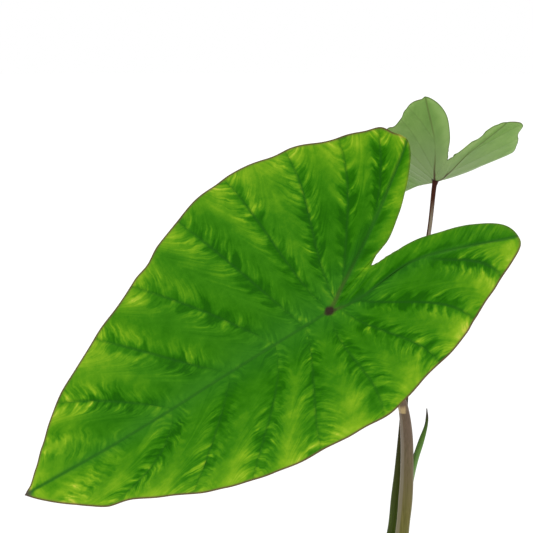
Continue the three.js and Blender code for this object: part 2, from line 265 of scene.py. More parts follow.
@dataclass(frozen=True)
class LeafForm:
    """Rise of a blade over its flat leaf, the same as the solid blade's.

    fold and fold_radius raise both sides, lift and heel raise the lobes behind the attachment, droop
    lowers the tip, and twist and lean turn one side up and the other down.
    """

    fold: float
    fold_radius: float
    lift: float
    heel: float
    droop: float
    twist: float
    lean: float


@dataclass(frozen=True)
class LeafPlace:
    """Where a blade is attached, in mm, and the directions to its tip and its left margin."""

    attachment: Point3
    to_tip: Point3
    to_left: Point3

    def axes(self) -> tuple[np.ndarray, np.ndarray, np.ndarray]:
        """Squares the blade's axes.

        Returns:
            Unit directions to the tip, to the left margin and out of the upper face.
        """
        tip = np.array(self.to_tip) / np.linalg.norm(self.to_tip)
        left = np.array(self.to_left)
        left = left - (left @ tip) * tip
        left = left / np.linalg.norm(left)
        return tip, left, np.cross(left, tip)


class LeafFace(Enum):
    """Faces of a blade, each a material slot of it."""

    UPPER = 0
    UNDER = 1
    RIM = 2


@dataclass(frozen=True)
class Patch:
    """A grid of blade points: side veins by rows, from the axis out to the margin.

    flat: flat places; rise: height over the flat leaf; rib: height of the side ribs; row: share of
    the way to the margin; streak: coordinates of the feathering; flush: level of pale colour;
    middle: from 0 at a vein to 1 half way to the next; tone: how dark the veins are; brown: how brown
    the margin is; side: 1 where the faces turn out of the upper side as they are, or else -1.
    """

    flat: np.ndarray
    rise: np.ndarray
    rib: np.ndarray
    row: np.ndarray
    streak: np.ndarray
    flush: np.ndarray
    middle: np.ndarray
    tone: np.ndarray
    brown: np.ndarray
    side: int


@dataclass(frozen=True)
class Blade:
    """A leaf blade as one closed sheet with grooves above, ribs below and a thin margin.

    tip, midrib, notch, left and right are given as flat points in mm. midrib_rib and side_rib: height
    of the ribs below; quilt: swelling between two veins, as a share of their distance; scallop: how
    far the margin stands out between two veins; wave: its ripple up and down. columns: columns of the
    grid between two veins; rows and sinus_rows: its rows out to the margin and in to the sinus.
    stains and line_lengths: how far the stalk's purple and a clear dark line reach along the midrib,
    the left costa and the right costa. base_level: level of pale colour beside the midrib;
    outward_gain: its rise out to the margin; margin_gain: its last rise there. Lengths are in mm.
    """

    name: str
    node: str
    slot: str
    place: LeafPlace
    form: LeafForm
    tip: Point2
    midrib: tuple[Point2, ...]
    notch: Point2
    left: LeafHalf
    right: LeafHalf
    midrib_rib: float
    side_rib: float
    quilt: float
    scallop: float
    wave: float
    columns: int
    rows: int
    sinus_rows: int
    stains: tuple[float, float, float] = (4.0, 28.0, 9.0)
    line_lengths: tuple[float, float, float] = (500.0, 62.0, 70.0)
    base_level: float = 0.28
    outward_gain: float = 0.2
    margin_gain: float = 0.14
    thickness: float = 0.6

    # What every grid point has, and which of it shapes the sheet and isn't painted.
    FIELDS: ClassVar[tuple[str, ...]] = ("rise", "rib", "row", "flush", "middle", "tone", "brown")
    SHAPING: ClassVar[tuple[str, ...]] = ("flat", "rise", "rib")
    # How much closer columns lie beside the veins, and rows beside the axis, than elsewhere.
    CROWDING: ClassVar[float] = 0.62
    ROW_POWER: ClassVar[float] = 1.5
    # The quilt is whole from this share of a vein's length on, and is no wider than the second one.
    QUILT_START: ClassVar[float] = 0.15
    QUILT_WIDTH: ClassVar[float] = 0.4
    # Veins shorter than this have less ripple, and veins closer together than this lower ribs, in mm.
    RIPPLE_LENGTH: ClassVar[float] = 60.0
    RIB_GAP: ClassVar[float] = 15.0
    # Feathering: mm from one vein to the next, the shift of each band against the one before, so that
    # none repeats another, and the shift between the two halves.
    STREAK_MM: ClassVar[float] = 28.0
    BAND_SHIFT_MM: ClassVar[float] = 39.3
    HALF_SHIFT_MM: ClassVar[float] = 900.0
    # How steeply the feathering sweeps towards the margin: weights of powers of the way to the middle.
    SWEEP: ClassVar[tuple[tuple[float, int], ...]] = ((0.2, 1), (0.22, 2), (0.2, 4))
    # Its sweep between costa and sinus, and its shift there for each mm that the lobe lies to the side.
    SINUS_SWEEP: ClassVar[float] = 0.8
    SINUS_SHIFT: ClassVar[float] = 10.0

    def rise(self, along: np.ndarray, across: np.ndarray) -> np.ndarray:
        """Finds how high the smooth blade lies over the flat leaf.

        Args:
            along: distances towards the tip, in mm.
            across: distances to the left, in mm.

        Returns:
            The rise of each place, in mm.
        """
        form = self.form
        folded = form.fold * (np.hypot(across, form.fold_radius) - form.fold_radius)
        lobes = form.lift * np.minimum(along, 0) ** 2 / 100
        lobes = lobes + form.heel * (np.hypot(along, 8) - along - 8) / 2
        turn = form.twist * along * across / 100 + form.lean * across * np.abs(across) / 100
        return folded + lobes + turn - form.droop * np.maximum(along, 0) ** 2 / 200

    def axis(self, half: LeafHalf) -> Curve2:
        """Draws the midrib up to the attachment, and then the costa of one half.

        Args:
            half: the half of the blade.

        Returns:
            A function from stations to flat places.
        """
        attached = len(self.midrib)
        midrib = through([self.tip, *self.midrib])
        costa = through([self.midrib[-1], *half.costa, half.lobe])

        def place(station: np.ndarray) -> np.ndarray:
            """Finds places on the midrib or the costa.

            Args:
                station: their stations.

            Returns:
                One place for each station.
            """
            ahead = midrib(np.minimum(station, attached))
            behind = costa(np.maximum(station - attached, 0))
            return np.where((station <= attached)[..., None], ahead, behind)

        return place

    def edge(self, half: LeafHalf) -> Curve2:
        """The margin of one half, from the tip round the lobe to the notch."""
        return through([self.tip, *half.vein_ends, half.lobe, *reversed(half.sinus_ends), self.notch])

    @staticmethod
    def waving(half: LeafHalf, edge: Curve2, station: np.ndarray) -> np.ndarray:
        """Finds how far the margin stands out of its smooth outline.

        Args:
            half: the half of the blade.
            edge: its smooth outline.
            station: stations of the outline.

        Returns:
            One flat step in mm for each station, square to the outline.
        """
        knots, heights = np.array(half.waves).T
        after = np.clip(np.searchsorted(knots, station), 1, len(knots) - 1)
        share = smooth((station - knots[after - 1]) / (knots[after] - knots[after - 1]), 0, 1)
        height = heights[after - 1] + share * (heights[after] - heights[after - 1])
        run = edge(station + 0.02) - edge(station - 0.02)
        out = np.stack([-run[:, 1], run[:, 0]], -1) / np.maximum(np.hypot(*run.T), 1e-9)[:, None]
        return out * (-height * np.sign(half.lobe[1]))[:, None]

    def stations(self, first: int, last: int) -> tuple[np.ndarray, np.ndarray]:
        """Places the grid's columns, closest together beside the veins.

        Args:
            first: the first vein of the grid.
            last: its last vein.

        Returns:
            The band between veins that each column lies in, and its station.
        """
        share = np.arange(self.columns + 1) / self.columns
        share = share - self.CROWDING * np.sin(2 * np.pi * share) / (2 * np.pi)
        band = np.repeat(np.arange(first, last), len(share))
        return band, np.round(band + np.tile(share, last - first), 9)

    def patch(self, half: LeafHalf, side: int, inner: bool) -> Patch:
        """Makes the grid outside the costa, or the inner one between costa and sinus.

        Args:
            half: the half of the blade.
            side: 1 for the left half and -1 for the right one.
            inner: whether the grid lies between the costa and the sinus.

        Returns:
            The grid with its relief, its streak coordinates and its level of pale colour.
        """
        last = len(half.vein_ends) + 1
        first = len(self.midrib) if inner else 0
        axis, outline = self.axis(half), self.edge(half)

        def edge(station: np.ndarray) -> np.ndarray:
            """The veins' ends in the margin, or those of the inner grid's columns in the sinus."""
            return outline(2 * last - station) if inner else outline(station)

        bends = ((0, 0), *half.bends, (0, 0))
        bend = through([(0, 0)] * len(bends) if inner else bends)
        band, station = self.stations(first, last)
        row = np.linspace(0, 1, self.sinus_rows if inner else self.rows)[None, :] ** self.ROW_POWER
        start = axis(station)
        vein = edge(station) - start
        length = np.hypot(vein[:, 0], vein[:, 1])
        between = np.sin(np.pi * station) ** 2
        grown = np.where((station >= 1) & (station <= last - 1), self.scallop * between, 0)
        vein = vein * (1 + grown / np.maximum(length, 1e-6))[:, None]
        reach = np.maximum(np.hypot(vein[:, 0], vein[:, 1]), 1e-9)
        turned = -side if inner else side
        back = np.stack([-vein[:, 1], vein[:, 0]], -1) / reach[:, None] * turned
        bowed = bow(row, bend(station)[:, :1], bend(station)[:, 1:])
        step = self.waving(half, outline, 2 * last - station if inner else station)
        flat = start[:, None] + vein[:, None] * row[..., None] + back[:, None] * bowed[..., None]
        flat = flat + step[:, None] * row[..., None] ** 2
        at_start = np.linalg.norm(axis(band + 1.0) - axis(band + 0.0), axis=1)
        at_end = np.linalg.norm(edge(band + 1.0) - edge(band + 0.0), axis=1)
        gap = at_start[:, None] * (1 - row) + at_end[:, None] * row
        shape = gap.shape
        stations, rows = np.broadcast_to(station[:, None], shape), np.broadcast_to(row, shape)
        raised = self.raised(station, row, gap, length, 0.5 * side, 0 if inner else self.wave)
        if inner:
            streak = self.sinus_streaks(half, flat)
            middle, brown = np.full(shape, 0.6), np.full(shape, 0.3)
        else:
            streak = self.streaks(half, flat, band, station, row)
            middle = 1 - np.abs(2 * (stations - np.floor(stations)) - 1)
            brown = 1 - 0.7 * smooth(stations, last - 0.7, last)
        return Patch(
            flat=flat,
            rise=self.rise(flat[..., 0], flat[..., 1]) + raised,
            rib=self.side_rib * (1 - row) ** 0.6 * np.minimum(1, gap / self.RIB_GAP),
            row=rows,
            streak=streak,
            flush=self.flush(half, stations, rows, inner),
            middle=middle,
            tone=self.tone(half, stations, rows),
            brown=brown,
            side=turned,
        )

    def raised(
        self,
        station: np.ndarray,
        row: np.ndarray,
        gap: np.ndarray,
        length: np.ndarray,
        phase: float,
        wave: float,
    ) -> np.ndarray:
        """Raises the quilt between the veins, and ripples the margin up and down.

        Args:
            station: stations of the grid's columns.
            row: shares of the way to the margin.
            gap: distances between the veins on either side, in mm.
            length: lengths of the columns, in mm.
            phase: where the ripple starts, in stations.
            wave: height of the ripple, in mm.

        Returns:
            The height of each point over the smooth blade, in mm.
        """
        between = np.sin(np.pi * station)[:, None] ** 2
        width = np.minimum(gap, self.QUILT_WIDTH * length[:, None])
        quilt = self.quilt * width * between * np.minimum(1, row / self.QUILT_START) * (1 - 0.5 * row)
        ripple = wave * row ** 3 * np.sin(np.pi * (station + phase))[:, None]
        return quilt + ripple * np.minimum(1, length / self.RIPPLE_LENGTH)[:, None]

    def streaks(
        self,
        half: LeafHalf,
        flat: np.ndarray,
        band: np.ndarray,
        station: np.ndarray,
        row: np.ndarray,
    ) -> np.ndarray:
        """Lays out the fine feathering that leaves a vein and turns to the margin.

        Args:
            half: the half of the blade.
            flat: the places of the grid's points.
            band: the band between veins that each column lies in.
            station: stations of the grid's columns.
            row: shares of the way to the margin.

        Returns:
            Coordinates in mm, across the feathering and along it, for each point of the grid.
        """
        last = len(half.vein_ends) + 1
        whole = np.arange(last + 1.0)
        starts, ends = self.axis(half)(whole), self.edge(half)(whole)
        starts[0], ends[0], starts[-1], ends[-1] = starts[1], ends[1], starts[-2], ends[-2]
        veins = (ends - starts) / np.linalg.norm(ends - starts, axis=1, keepdims=True)
        out = np.einsum("crkj,kj->crk", flat[:, :, None] - starts, veins)
        before, after = (
            np.take_along_axis(out, number[:, None, None], axis=2)[..., 0] for number in (band, band + 1)
        )
        square = np.stack([-veins[:, 1], veins[:, 0]], -1)[band]
        near, far = (
            np.abs(np.einsum("cj,cj->c", square, line(band + 1.0) - line(band + 0.0)))[:, None]
            for line in (self.axis(half), self.edge(half))
        )
        gap = near * (1 - row) + far * row
        share = station - band
        turn = smooth(share, 0.25, 0.75)[:, None]
        middle = 1 - np.abs(2 * share - 1)[:, None]
        sweep = sum(weight * middle ** power for weight, power in self.SWEEP)
        sweep = sweep * (0.1 + 0.9 * smooth(station, 1.0, 1.7))[:, None]
        across = before * (1 - turn) + after * turn - gap * sweep
        along = self.STREAK_MM * station + self.BAND_SHIFT_MM * np.maximum(band, 1)
        along = along + self.HALF_SHIFT_MM * np.sign(half.lobe[1])
        return np.stack([across, np.broadcast_to(along[:, None], across.shape)], -1)

    def sinus_streaks(self, half: LeafHalf, flat: np.ndarray) -> np.ndarray:
        """Lays out the feathering between costa and sinus, where it leaves the costa.

        Args:
            half: the half of the blade.
            flat: the places of the grid's points.

        Returns:
            Coordinates in mm, across the feathering and along it, for each point of the grid.
        """
        lobe = np.array(half.lobe) / np.linalg.norm(half.lobe)
        out = np.abs(flat[..., 0] * lobe[1] - flat[..., 1] * lobe[0])
        shift = self.SINUS_SHIFT * half.lobe[1]
        return np.stack([flat @ lobe - self.SINUS_SWEEP * out, out + shift], -1)

    def tone(self, half: LeafHalf, station: np.ndarray, row: np.ndarray) -> np.ndarray:
        """Sets how dark the side veins are: as the half says, but fainter at their ends.

        Args:
            half: the half of the blade.
            station: stations of the grid's points.
            row: their shares of the way to the margin.

        Returns:
            The darkness of each point's vein, about 1 at its most.
        """
        attached, last = len(self.midrib), len(half.vein_ends) + 1
        front, lobe = half.vein_tone
        strength = front + (lobe - front) * smooth(station, attached + 0.6, attached + 1.6)
        beside_lobe = smooth(station, last - 1.5, last - 0.9) * (1 - smooth(row, 0.05, 0.35))
        beside_hub = (1 - smooth(station, attached, attached + 2.6)) * (1 - smooth(row, 0.02, 0.4))
        losses = (
            (0.8, smooth(station, last - 1.0, last - 0.4)),
            (0.75, beside_lobe),
            (0.7, 1 - smooth(station, 1.1, 1.9)),
            (0.7, beside_hub),
            (0.45, smooth(row, 0.72, 0.95)),
        )
        for loss, near in losses:
            strength = strength * (1 - loss * near)
        return strength

    def flush(self, half: LeafHalf, station: np.ndarray, row: np.ndarray, inner: bool) -> np.ndarray:
        """Sets the level of pale colour before any feathering.

        Args:
            half: the half of the blade.
            station: stations of the grid's points.
            row: their shares of the way to the margin.
            inner: whether the grid lies between the costa and the sinus.

        Returns:
            The level of each point, from 0, dark green, to 1, yellow-green.
        """
        level = self.base_level + self.outward_gain * smooth(row, 0.0, 1.0)
        if inner:
            return level + half.sinus_flush * smooth(row, 0.25, 0.8)
        level = level + self.margin_gain * smooth(row, 0.84, 0.99)
        for item in half.flushes:
            shown = smooth(row, item.start - 0.12, item.start + 0.22)
            shown = shown * (1 - smooth(row, item.end - 0.1, item.end + 0.1))
            level = level + item.strength * bell(station - item.station, item.width) * shown
        return level

    def vein_lines(self) -> tuple[list[np.ndarray], list[np.ndarray]]:
        """Draws the veins as broken lines. The side vein next to the tip is too faint to draw.

        Returns:
            The main veins, and the side veins with the costas, as flat points in mm.
        """
        main, sides = [], []
        for half, side in ((self.left, 1), (self.right, -1)):
            last = len(half.vein_ends) + 1
            axis, edge = self.axis(half), self.edge(half)
            main.append(axis(np.linspace(0, last, 12 * last + 1)))
            sides.append(axis(np.linspace(len(self.midrib), last, 60)))
            bend = through(((0, 0), *half.bends, (0, 0)))
            row = np.linspace(0, 1, 25)[:, None]
            for number in range(2, last):
                station = np.array([float(number)])
                start, end = axis(station)[0], edge(station)[0]
                back = np.array([-(end - start)[1], (end - start)[0]]) * side
                back = back / np.linalg.norm(back)
                sides.append(start + (end - start) * row + back * bow(row, *bend(station)[0]))
        return main, sides

    def build(self) -> bpy.types.Object:
        """Builds the closed sheet with its attributes and its map of the feathering.

        Returns:
            The finished object, without materials.
        """
        patches = [
            self.patch(half, side, inner)
            for half, side in ((self.left, 1), (self.right, -1))
            for inner in (False, True)
        ]
        quads, offset = [], 0
        for patch in patches:
            columns, rows = patch.row.shape
            number = np.arange(columns * rows).reshape(columns, rows) + offset
            corners = [number[:-1, :-1], number[1:, :-1], number[1:, 1:], number[:-1, 1:]]
            if patch.side < 0:
                corners.reverse()
            quads.append(np.stack([corner.ravel() for corner in corners], -1))
            offset += columns * rows
        flat = np.concatenate([patch.flat.reshape(-1, 2) for patch in patches])
        keys = np.round(flat * 500).astype(np.int64)
        _, kept, merged = np.unique(keys, axis=0, return_index=True, return_inverse=True)
        merged = merged.ravel()

        def gather(name: str) -> np.ndarray:
            """One value of the patches for each merged point."""
            return np.concatenate([getattr(patch, name).ravel() for patch in patches])[kept]

        faces = self.faces(np.concatenate(quads), merged)
        fields = {name: gather(name) for name in self.FIELDS}
        fields["flat"] = flat[kept]
        fields.update(self.distances(fields["flat"], [patch.flat[:, -1] for patch in patches]))
        fields["hub_vein"] = self.stained(fields["flat"], fields["hub_mm"])
        fields["main_tone"] = self.main_tone(fields["flat"], fields["hub_mm"])
        streak = np.concatenate([patch.streak.reshape(-1, 2) for patch in patches])
        return self.sheet(faces, merged, fields, streak)

    @staticmethod
    def faces(quads: np.ndarray, merged: np.ndarray) -> list[list[int]]:
        """Drops the corners that fall on one merged point.

        Args:
            quads: four grid points for each face.
            merged: the merged point of each grid point.

        Returns:
            The faces that are left, as lists of three or four grid points.
        """
        faces = []
        for quad, shared in zip(quads.tolist(), merged[quads].tolist()):
            if len(set(shared)) == 4:
                faces.append(quad)
                continue
            face = [q for i, q in enumerate(quad) if shared[i] != shared[i - 1]]
            if len({int(merged[q]) for q in face}) == 3 and len(face) == 3:
                faces.append(face)
        return faces

    def main_veins(self) -> tuple[np.ndarray, np.ndarray, np.ndarray]:
        """Draws the main veins near the attachment.

        Returns:
            The midrib, the left costa and the right costa, as broken lines of flat points in mm.
        """
        attached = len(self.midrib)
        midrib, costa = np.linspace(0, attached, 60), np.linspace(attached, attached + 3, 40)
        left, right = self.axis(self.left), self.axis(self.right)
        return left(midrib), left(costa), right(costa)

    def main_tone(self, flat: np.ndarray, hub_mm: np.ndarray) -> np.ndarray:
        """Fades the clear line of each main vein about its own length.

        Args:
            flat: flat places in mm.
            hub_mm: their distances from the attachment.

        Returns:
            How clear the line is at each place, from 0 to 1.
        """
        tone = np.ones(len(flat))
        for vein, length in zip(self.main_veins(), self.line_lengths):
            near = bell(distance_to(flat, [vein]), 4.0)
            tone -= 0.9 * near * smooth(hub_mm, 0.7 * length, 1.3 * length)
        return tone

    def stained(self, flat: np.ndarray, hub_mm: np.ndarray) -> np.ndarray:
        """Stains the main veins with the purple of the stalk, in a wider line on a longer blade.

        Args:
            flat: flat places in mm.
            hub_mm: their distances from the attachment.

        Returns:
            How strong the stain is at each place, from 0 to 1.
        """
        width = 0.01 * self.tip[0] - 0.15
        stain = np.zeros(len(flat))
        for vein, length in zip(self.main_veins(), self.stains):
            stain = np.maximum(stain, bell(distance_to(flat, [vein]), width) * bell(hub_mm, length))
        return stain

    def distances(self, flat: np.ndarray, margin: Iterable[np.ndarray]) -> dict[str, np.ndarray]:
        """Measures the distances that the skin is painted by.

        Args:
            flat: flat places in mm.
            margin: the margin's parts, as broken lines of flat points.

        Returns:
            Distances from the main veins, side veins, margin, attachment and tip, in mm, by name.
        """
        main, sides = self.vein_lines()
        return {
            "main_mm": distance_to(flat, main),
            "side_mm": distance_to(flat, sides),
            "margin_mm": distance_to(flat, margin),
            "hub_mm": np.hypot(flat[:, 0], flat[:, 1]),
            "tip_mm": np.hypot(*(flat - np.array(self.tip)).T),
        }

    def relief(self, fields: dict[str, np.ndarray]) -> tuple[np.ndarray, np.ndarray]:
        """Thins the margin, sinks grooves over the veins and raises ribs under them.

        Args:
            fields: values of the merged points.

        Returns:
            How far the upper and the lower face stand off the middle of the sheet, in mm.
        """
        side, main, margin = fields["side_mm"], fields["main_mm"], fields["margin_mm"]
        along = np.abs(fields["flat"][:, 0]) / self.tip[0]
        half = self.thickness / 2 * (0.55 + 0.45 * smooth(margin, 0.0, 1.6))
        groove = 0.16 * bell(side, 0.7) * (1 - fields["row"]) ** 0.5
        groove = np.maximum(groove, 0.3 * bell(main, 1.1) * (1 - 0.7 * along))
        rib = fields["rib"] * bell(side, 0.75)
        main_rib = self.midrib_rib * (1 - 0.75 * along) * bell(main, 1.3) * fields["main_tone"]
        rib = np.maximum(rib, main_rib) * smooth(margin, 0, 3)
        return half - groove, half + rib

    @staticmethod
    def normals(places: np.ndarray, shared: Sequence[Sequence[int]]) -> np.ndarray:
        """Finds which way the sheet faces at each point.

        Args:
            places: places of the merged points.
            shared: faces as lists of three or four merged points.

        Returns:
            Unit normals out of the upper face.
        """
        normals = np.zeros_like(places)
        for size in (3, 4):
            of_size = np.array([face for face in shared if len(face) == size], int).reshape(-1, size)
            corners = [places[of_size[:, corner]] for corner in range(size)]
            if size == 3:
                turned = np.cross(corners[1] - corners[0], corners[2] - corners[0])
            else:
                turned = np.cross(corners[2] - corners[0], corners[3] - corners[1])
            for corner in range(size):
                np.add.at(normals, of_size[:, corner], turned)
        return normals / np.maximum(np.linalg.norm(normals, axis=1, keepdims=True), 1e-12)

    @staticmethod
    def closed(
        shared: list[list[int]], faces: list[list[int]], count: int,
    ) -> tuple[list[list[int]], list[list[int]], list[int]]:
        """Joins the faces of an upper and a lower sheet by a rim.

        Args:
            shared: faces as lists of merged points.
            faces: the same faces as lists of grid points.
            count: the number of merged points, which a lower point's number is raised by.

        Returns:
            All faces, the grid point behind each of their corners, and a point of each rim face.
        """
        polygons = [list(face) for face in shared]
        polygons += [[corner + count for corner in reversed(face)] for face in shared]
        sources = [list(face) for face in faces] + [list(reversed(face)) for face in faces]
        edges = {}
        for face, source in zip(shared, faces):
            for i, corner in enumerate(face):
                edges[(face[i - 1], corner)] = (source[i - 1], source[i])
        rim = [(edge, source) for edge, source in edges.items() if edge[::-1] not in edges]
        for (start, end), (first, second) in rim:
            polygons.append([end, start, start + count, end + count])
            sources.append([second, first, first, second])
        return polygons, sources, [start for (start, _), _ in rim]

    def sheet(
        self,
        faces: list[list[int]],
        merged: np.ndarray,
        fields: dict[str, np.ndarray],
        streak: np.ndarray,
    ) -> bpy.types.Object:
        """Gives the sheet its thickness, its margin, its attributes and its map.

        Args:
            faces: faces as lists of grid points.
            merged: the merged point of each grid point.
            fields: values of the merged points.
            streak: feathering coordinates of the grid points.

        Returns:
            The finished object.
        """
        tip, left, upper = self.place.axes()
        along, across = fields["flat"].T
        places = np.array(self.place.attachment) + along[:, None] * tip + across[:, None] * left
        places = places + fields["rise"][:, None] * upper
        shared = [[int(merged[q]) for q in face] for face in faces]
        normals = self.normals(places, shared)
        above, below = self.relief(fields)
        top = places + normals * above[:, None]
        bottom = places - normals * below[:, None]
        polygons, sources, rim = self.closed(shared, faces, len(places))
        mesh = bpy.data.meshes.new(self.name)
        mesh.from_pydata((np.vstack([top, bottom]) * MM).tolist(), [], polygons)
        for name, values in fields.items():
            if name not in self.SHAPING:
                attribute = mesh.attributes.new(name, "FLOAT", "POINT")
                attribute.data.foreach_set("value", np.tile(values, 2).astype(np.float32))
        order = np.array([corner for source in sources for corner in source])
        layer = mesh.uv_layers.new(name="Streaks")
        layer.data.foreach_set("uv", streak[order].astype(np.float32).ravel())
        kinds = [LeafFace.UPPER] * len(faces) + [LeafFace.UNDER] * len(faces)
        kinds += [LeafFace.RIM if fields["brown"][start] > 0.5 else LeafFace.UPPER for start in rim]
        mesh.polygons.foreach_set("material_index", [kind.value for kind in kinds])
        mesh.validate()
        blade = bpy.data.objects.new(self.name, mesh)
        bpy.context.scene.collection.objects.link(blade)
        select_only(blade)
        bpy.ops.object.shade_smooth_by_angle(angle=math.radians(50))
        return blade


def select_only(piece: bpy.types.Object) -> None:
    """Selects one object alone and makes it the active one.

    Args:
        piece: the object.
    """
    bpy.ops.object.select_all(action="DESELECT")
    piece.select_set(True)
    bpy.context.view_layer.objects.active = piece


@dataclass(frozen=True)
class Layer:
    """Colour laid over a finish where an attribute of the mesh is near a value.

    The layer has its full strength at near and is gone at far. ragged moves its border to and fro by
    up to about so much, and tone names an attribute that weakens it.
    """

    attribute: str
    near: float
    far: float
    strength: float
    colour: str
    ragged: float = 0.0
    tone: str = ""


@dataclass(frozen=True)
class Stroke:
    """One kind of pale and dark strokes in the feathering.

    depth: how much they change the level of pale colour; kept: the share of it that is left half way
    between two veins.
    """

    width_mm: float
    length_mm: float
    depth: float
    kept: float


@dataclass(frozen=True)
class LeafSkin:
    """Living leaf skin: a thin waxy cuticle over green tissue that is feathered with paler streaks.

    The eye sees soft satin gloss, dark green along the veins, and pale strokes about 1.5 mm wide that
    leave the side veins and turn to the margin.

    mottle: size in mm and depth of the broad patches; waver_mm: how far the strokes waver; calm_mm:
    size of the places where they are faint or clear; contrast: of the pattern, at a vein's start and
    beyond; vein_shade and vein_reach_mm: depth and width of the dark band along a side vein;
    flame_mm: how far that band flames out; speck_mm: size of the specks that fray a layer's border.
    cell_mm is the size of the skin's cells, drawn some ten times too coarse so that they show.
    """

    name: str
    stops: tuple[tuple[float, str], ...]
    layers: tuple[Layer, ...]
    strokes: tuple[Stroke, ...] = (
        Stroke(1.3, 6.0, 0.16, 0.1),
        Stroke(6.5, 13.0, 0.2, 0.4),
        Stroke(2.6, 9.0, 0.24, 0.15),
        Stroke(16.0, 13.0, 0.12, 0.8),
    )
    mottle: tuple[float, float] = (15.0, 0.36)
    waver_mm: float = 4.0
    waver_size_mm: float = 14.0
    calm_mm: float = 24.0
    contrast: tuple[float, float] = (0.95, 1.0)
    vein_shade: float = 0.24
    vein_reach_mm: float = 5.5
    flame_mm: float = 10.0
    speck_mm: float = 2.6
    cell_mm: float = 0.9
    cell_depth_mm: float = 0.12
    roughness: float = 0.42
    specular: float = 0.03
    ior: float = 1.42

    def feathering(self, tree: Tree, places: Socket) -> list[Socket]:
        """Draws the strokes on the wavering coordinates of the feathering.

        Args:
            tree: the material's nodes.
            places: places on the object.

        Returns:
            One pattern from 0 to 1 for each kind of strokes.
        """
        streaks = add_node(tree, "UVMap", uv_map="Streaks").outputs[0]
        drift = add_node(tree, "TexNoise", {
            "Vector": places, "Scale": 1 / (self.waver_size_mm * MM), "Detail": 4.0, "Roughness": 0.58,
        }).outputs["Color"]
        drift = add_node(tree, "VectorMath", {0: drift, 1: (0.5, 0.5, 0.5)}, operation="SUBTRACT")
        streaks = add_node(tree, "VectorMath", {
            0: drift.outputs[0], 1: (2 * self.waver_mm, 4 * self.waver_mm, 0), 2: streaks,
        }, operation="MULTIPLY_ADD").outputs[0]
        middle = add_node(tree, "Attribute", attribute_name="middle").outputs["Fac"]
        patterns = []
        for stroke in self.strokes:
            scaled = add_node(tree, "Mapping", {
                "Vector": streaks, "Scale": (1 / stroke.width_mm, 1 / stroke.length_mm, 1),
            }).outputs[0]
            pattern = add_node(tree, "TexNoise", {
                "Vector": scaled, "Scale": 1.0, "Detail": 1.0, "Roughness": 0.45,
            }, noise_dimensions="2D").outputs["Fac"]
            beside = add_node(tree, "MapRange", {
                "Value": middle, "From Min": 0.3, "From Max": 0.9, "To Min": 1.0, "To Max": stroke.kept,
            }, interpolation_type="SMOOTHSTEP").outputs[0]
            patterns.append(add_node(tree, "Mix", {0: beside, 2: 0.5, 3: pattern}).outputs[0])
        return patterns

    def vein_band(self, tree: Tree, flames: Socket) -> Socket:
        """Draws the dark band along each side vein, with flames for an edge.

        Args:
            tree: the material's nodes.
            flames: the strokes that draw the flames.

        Returns:
            How much darker the skin is.
        """
        side = add_node(tree, "Attribute", attribute_name="side_mm").outputs["Fac"]
        flame = add_node(tree, "Math", {0: flames, 1: 0.5}, operation="SUBTRACT").outputs[0]
        ragged = add_node(tree, "Math", {
            0: flame, 1: 2 * self.flame_mm, 2: side,
        }, operation="MULTIPLY_ADD").outputs[0]
        shade = add_node(tree, "MapRange", {
            "Value": ragged, "From Min": 0.0, "From Max": self.vein_reach_mm,
            "To Min": self.vein_shade, "To Max": 0.0,
        }, interpolation_type="SMOOTHSTEP").outputs[0]
        tone = add_node(tree, "Attribute", attribute_name="tone").outputs["Fac"]
        return add_node(tree, "Math", {0: shade, 1: tone}, operation="MULTIPLY").outputs[0]

    def level(self, tree: Tree, places: Socket, strokes: Sequence[Socket]) -> Socket:
        """Adds strokes, mottling and the veins' dark bands to the mesh's level of pale colour.

        Args:
            tree: the material's nodes.
            places: places on the object.
            strokes: one pattern for each kind of strokes.

        Returns:
            The level, from 0, dark, to 1, pale.
        """
        level = add_node(tree, "Attribute", attribute_name="flush").outputs["Fac"]
        row = add_node(tree, "Attribute", attribute_name="row").outputs["Fac"]
        gain = add_node(tree, "MapRange", {
            "Value": row, "From Min": 0.05, "From Max": 0.6,
            "To Min": self.contrast[0], "To Max": self.contrast[1],
        }).outputs[0]
        calm = add_node(tree, "TexNoise", {
            "Vector": places, "Scale": 1 / (self.calm_mm * MM), "Detail": 2.0,
        }).outputs["Fac"]
        calm = add_node(tree, "MapRange", {
            "Value": calm, "From Min": 0.35, "From Max": 0.65, "To Min": 0.45, "To Max": 1.55,
        }).outputs[0]
        lively = add_node(tree, "Math", {0: gain, 1: calm}, operation="MULTIPLY").outputs[0]
        mottle_mm, mottle_depth = self.mottle
        mottle = add_node(tree, "TexNoise", {
            "Vector": places, "Scale": 1 / (mottle_mm * MM), "Detail": 4.0, "Roughness": 0.66,
        }).outputs["Fac"]
        patterns = [(pattern, stroke.depth, lively) for pattern, stroke in zip(strokes, self.strokes)]
        for pattern, depth, strength in (*patterns, (mottle, mottle_depth, gain)):
            centred = add_node(tree, "Math", {0: pattern, 1: 0.5}, operation="SUBTRACT")
            deep = add_node(tree, "Math", {0: centred.outputs[0], 1: strength}, operation="MULTIPLY")
            level = add_node(tree, "Math", {
                0: deep.outputs[0], 1: 2 * depth, 2: level,
            }, operation="MULTIPLY_ADD").outputs[0]
        band = self.vein_band(tree, strokes[1])
        return add_node(tree, "Math", {0: level, 1: band}, operation="SUBTRACT").outputs[0]

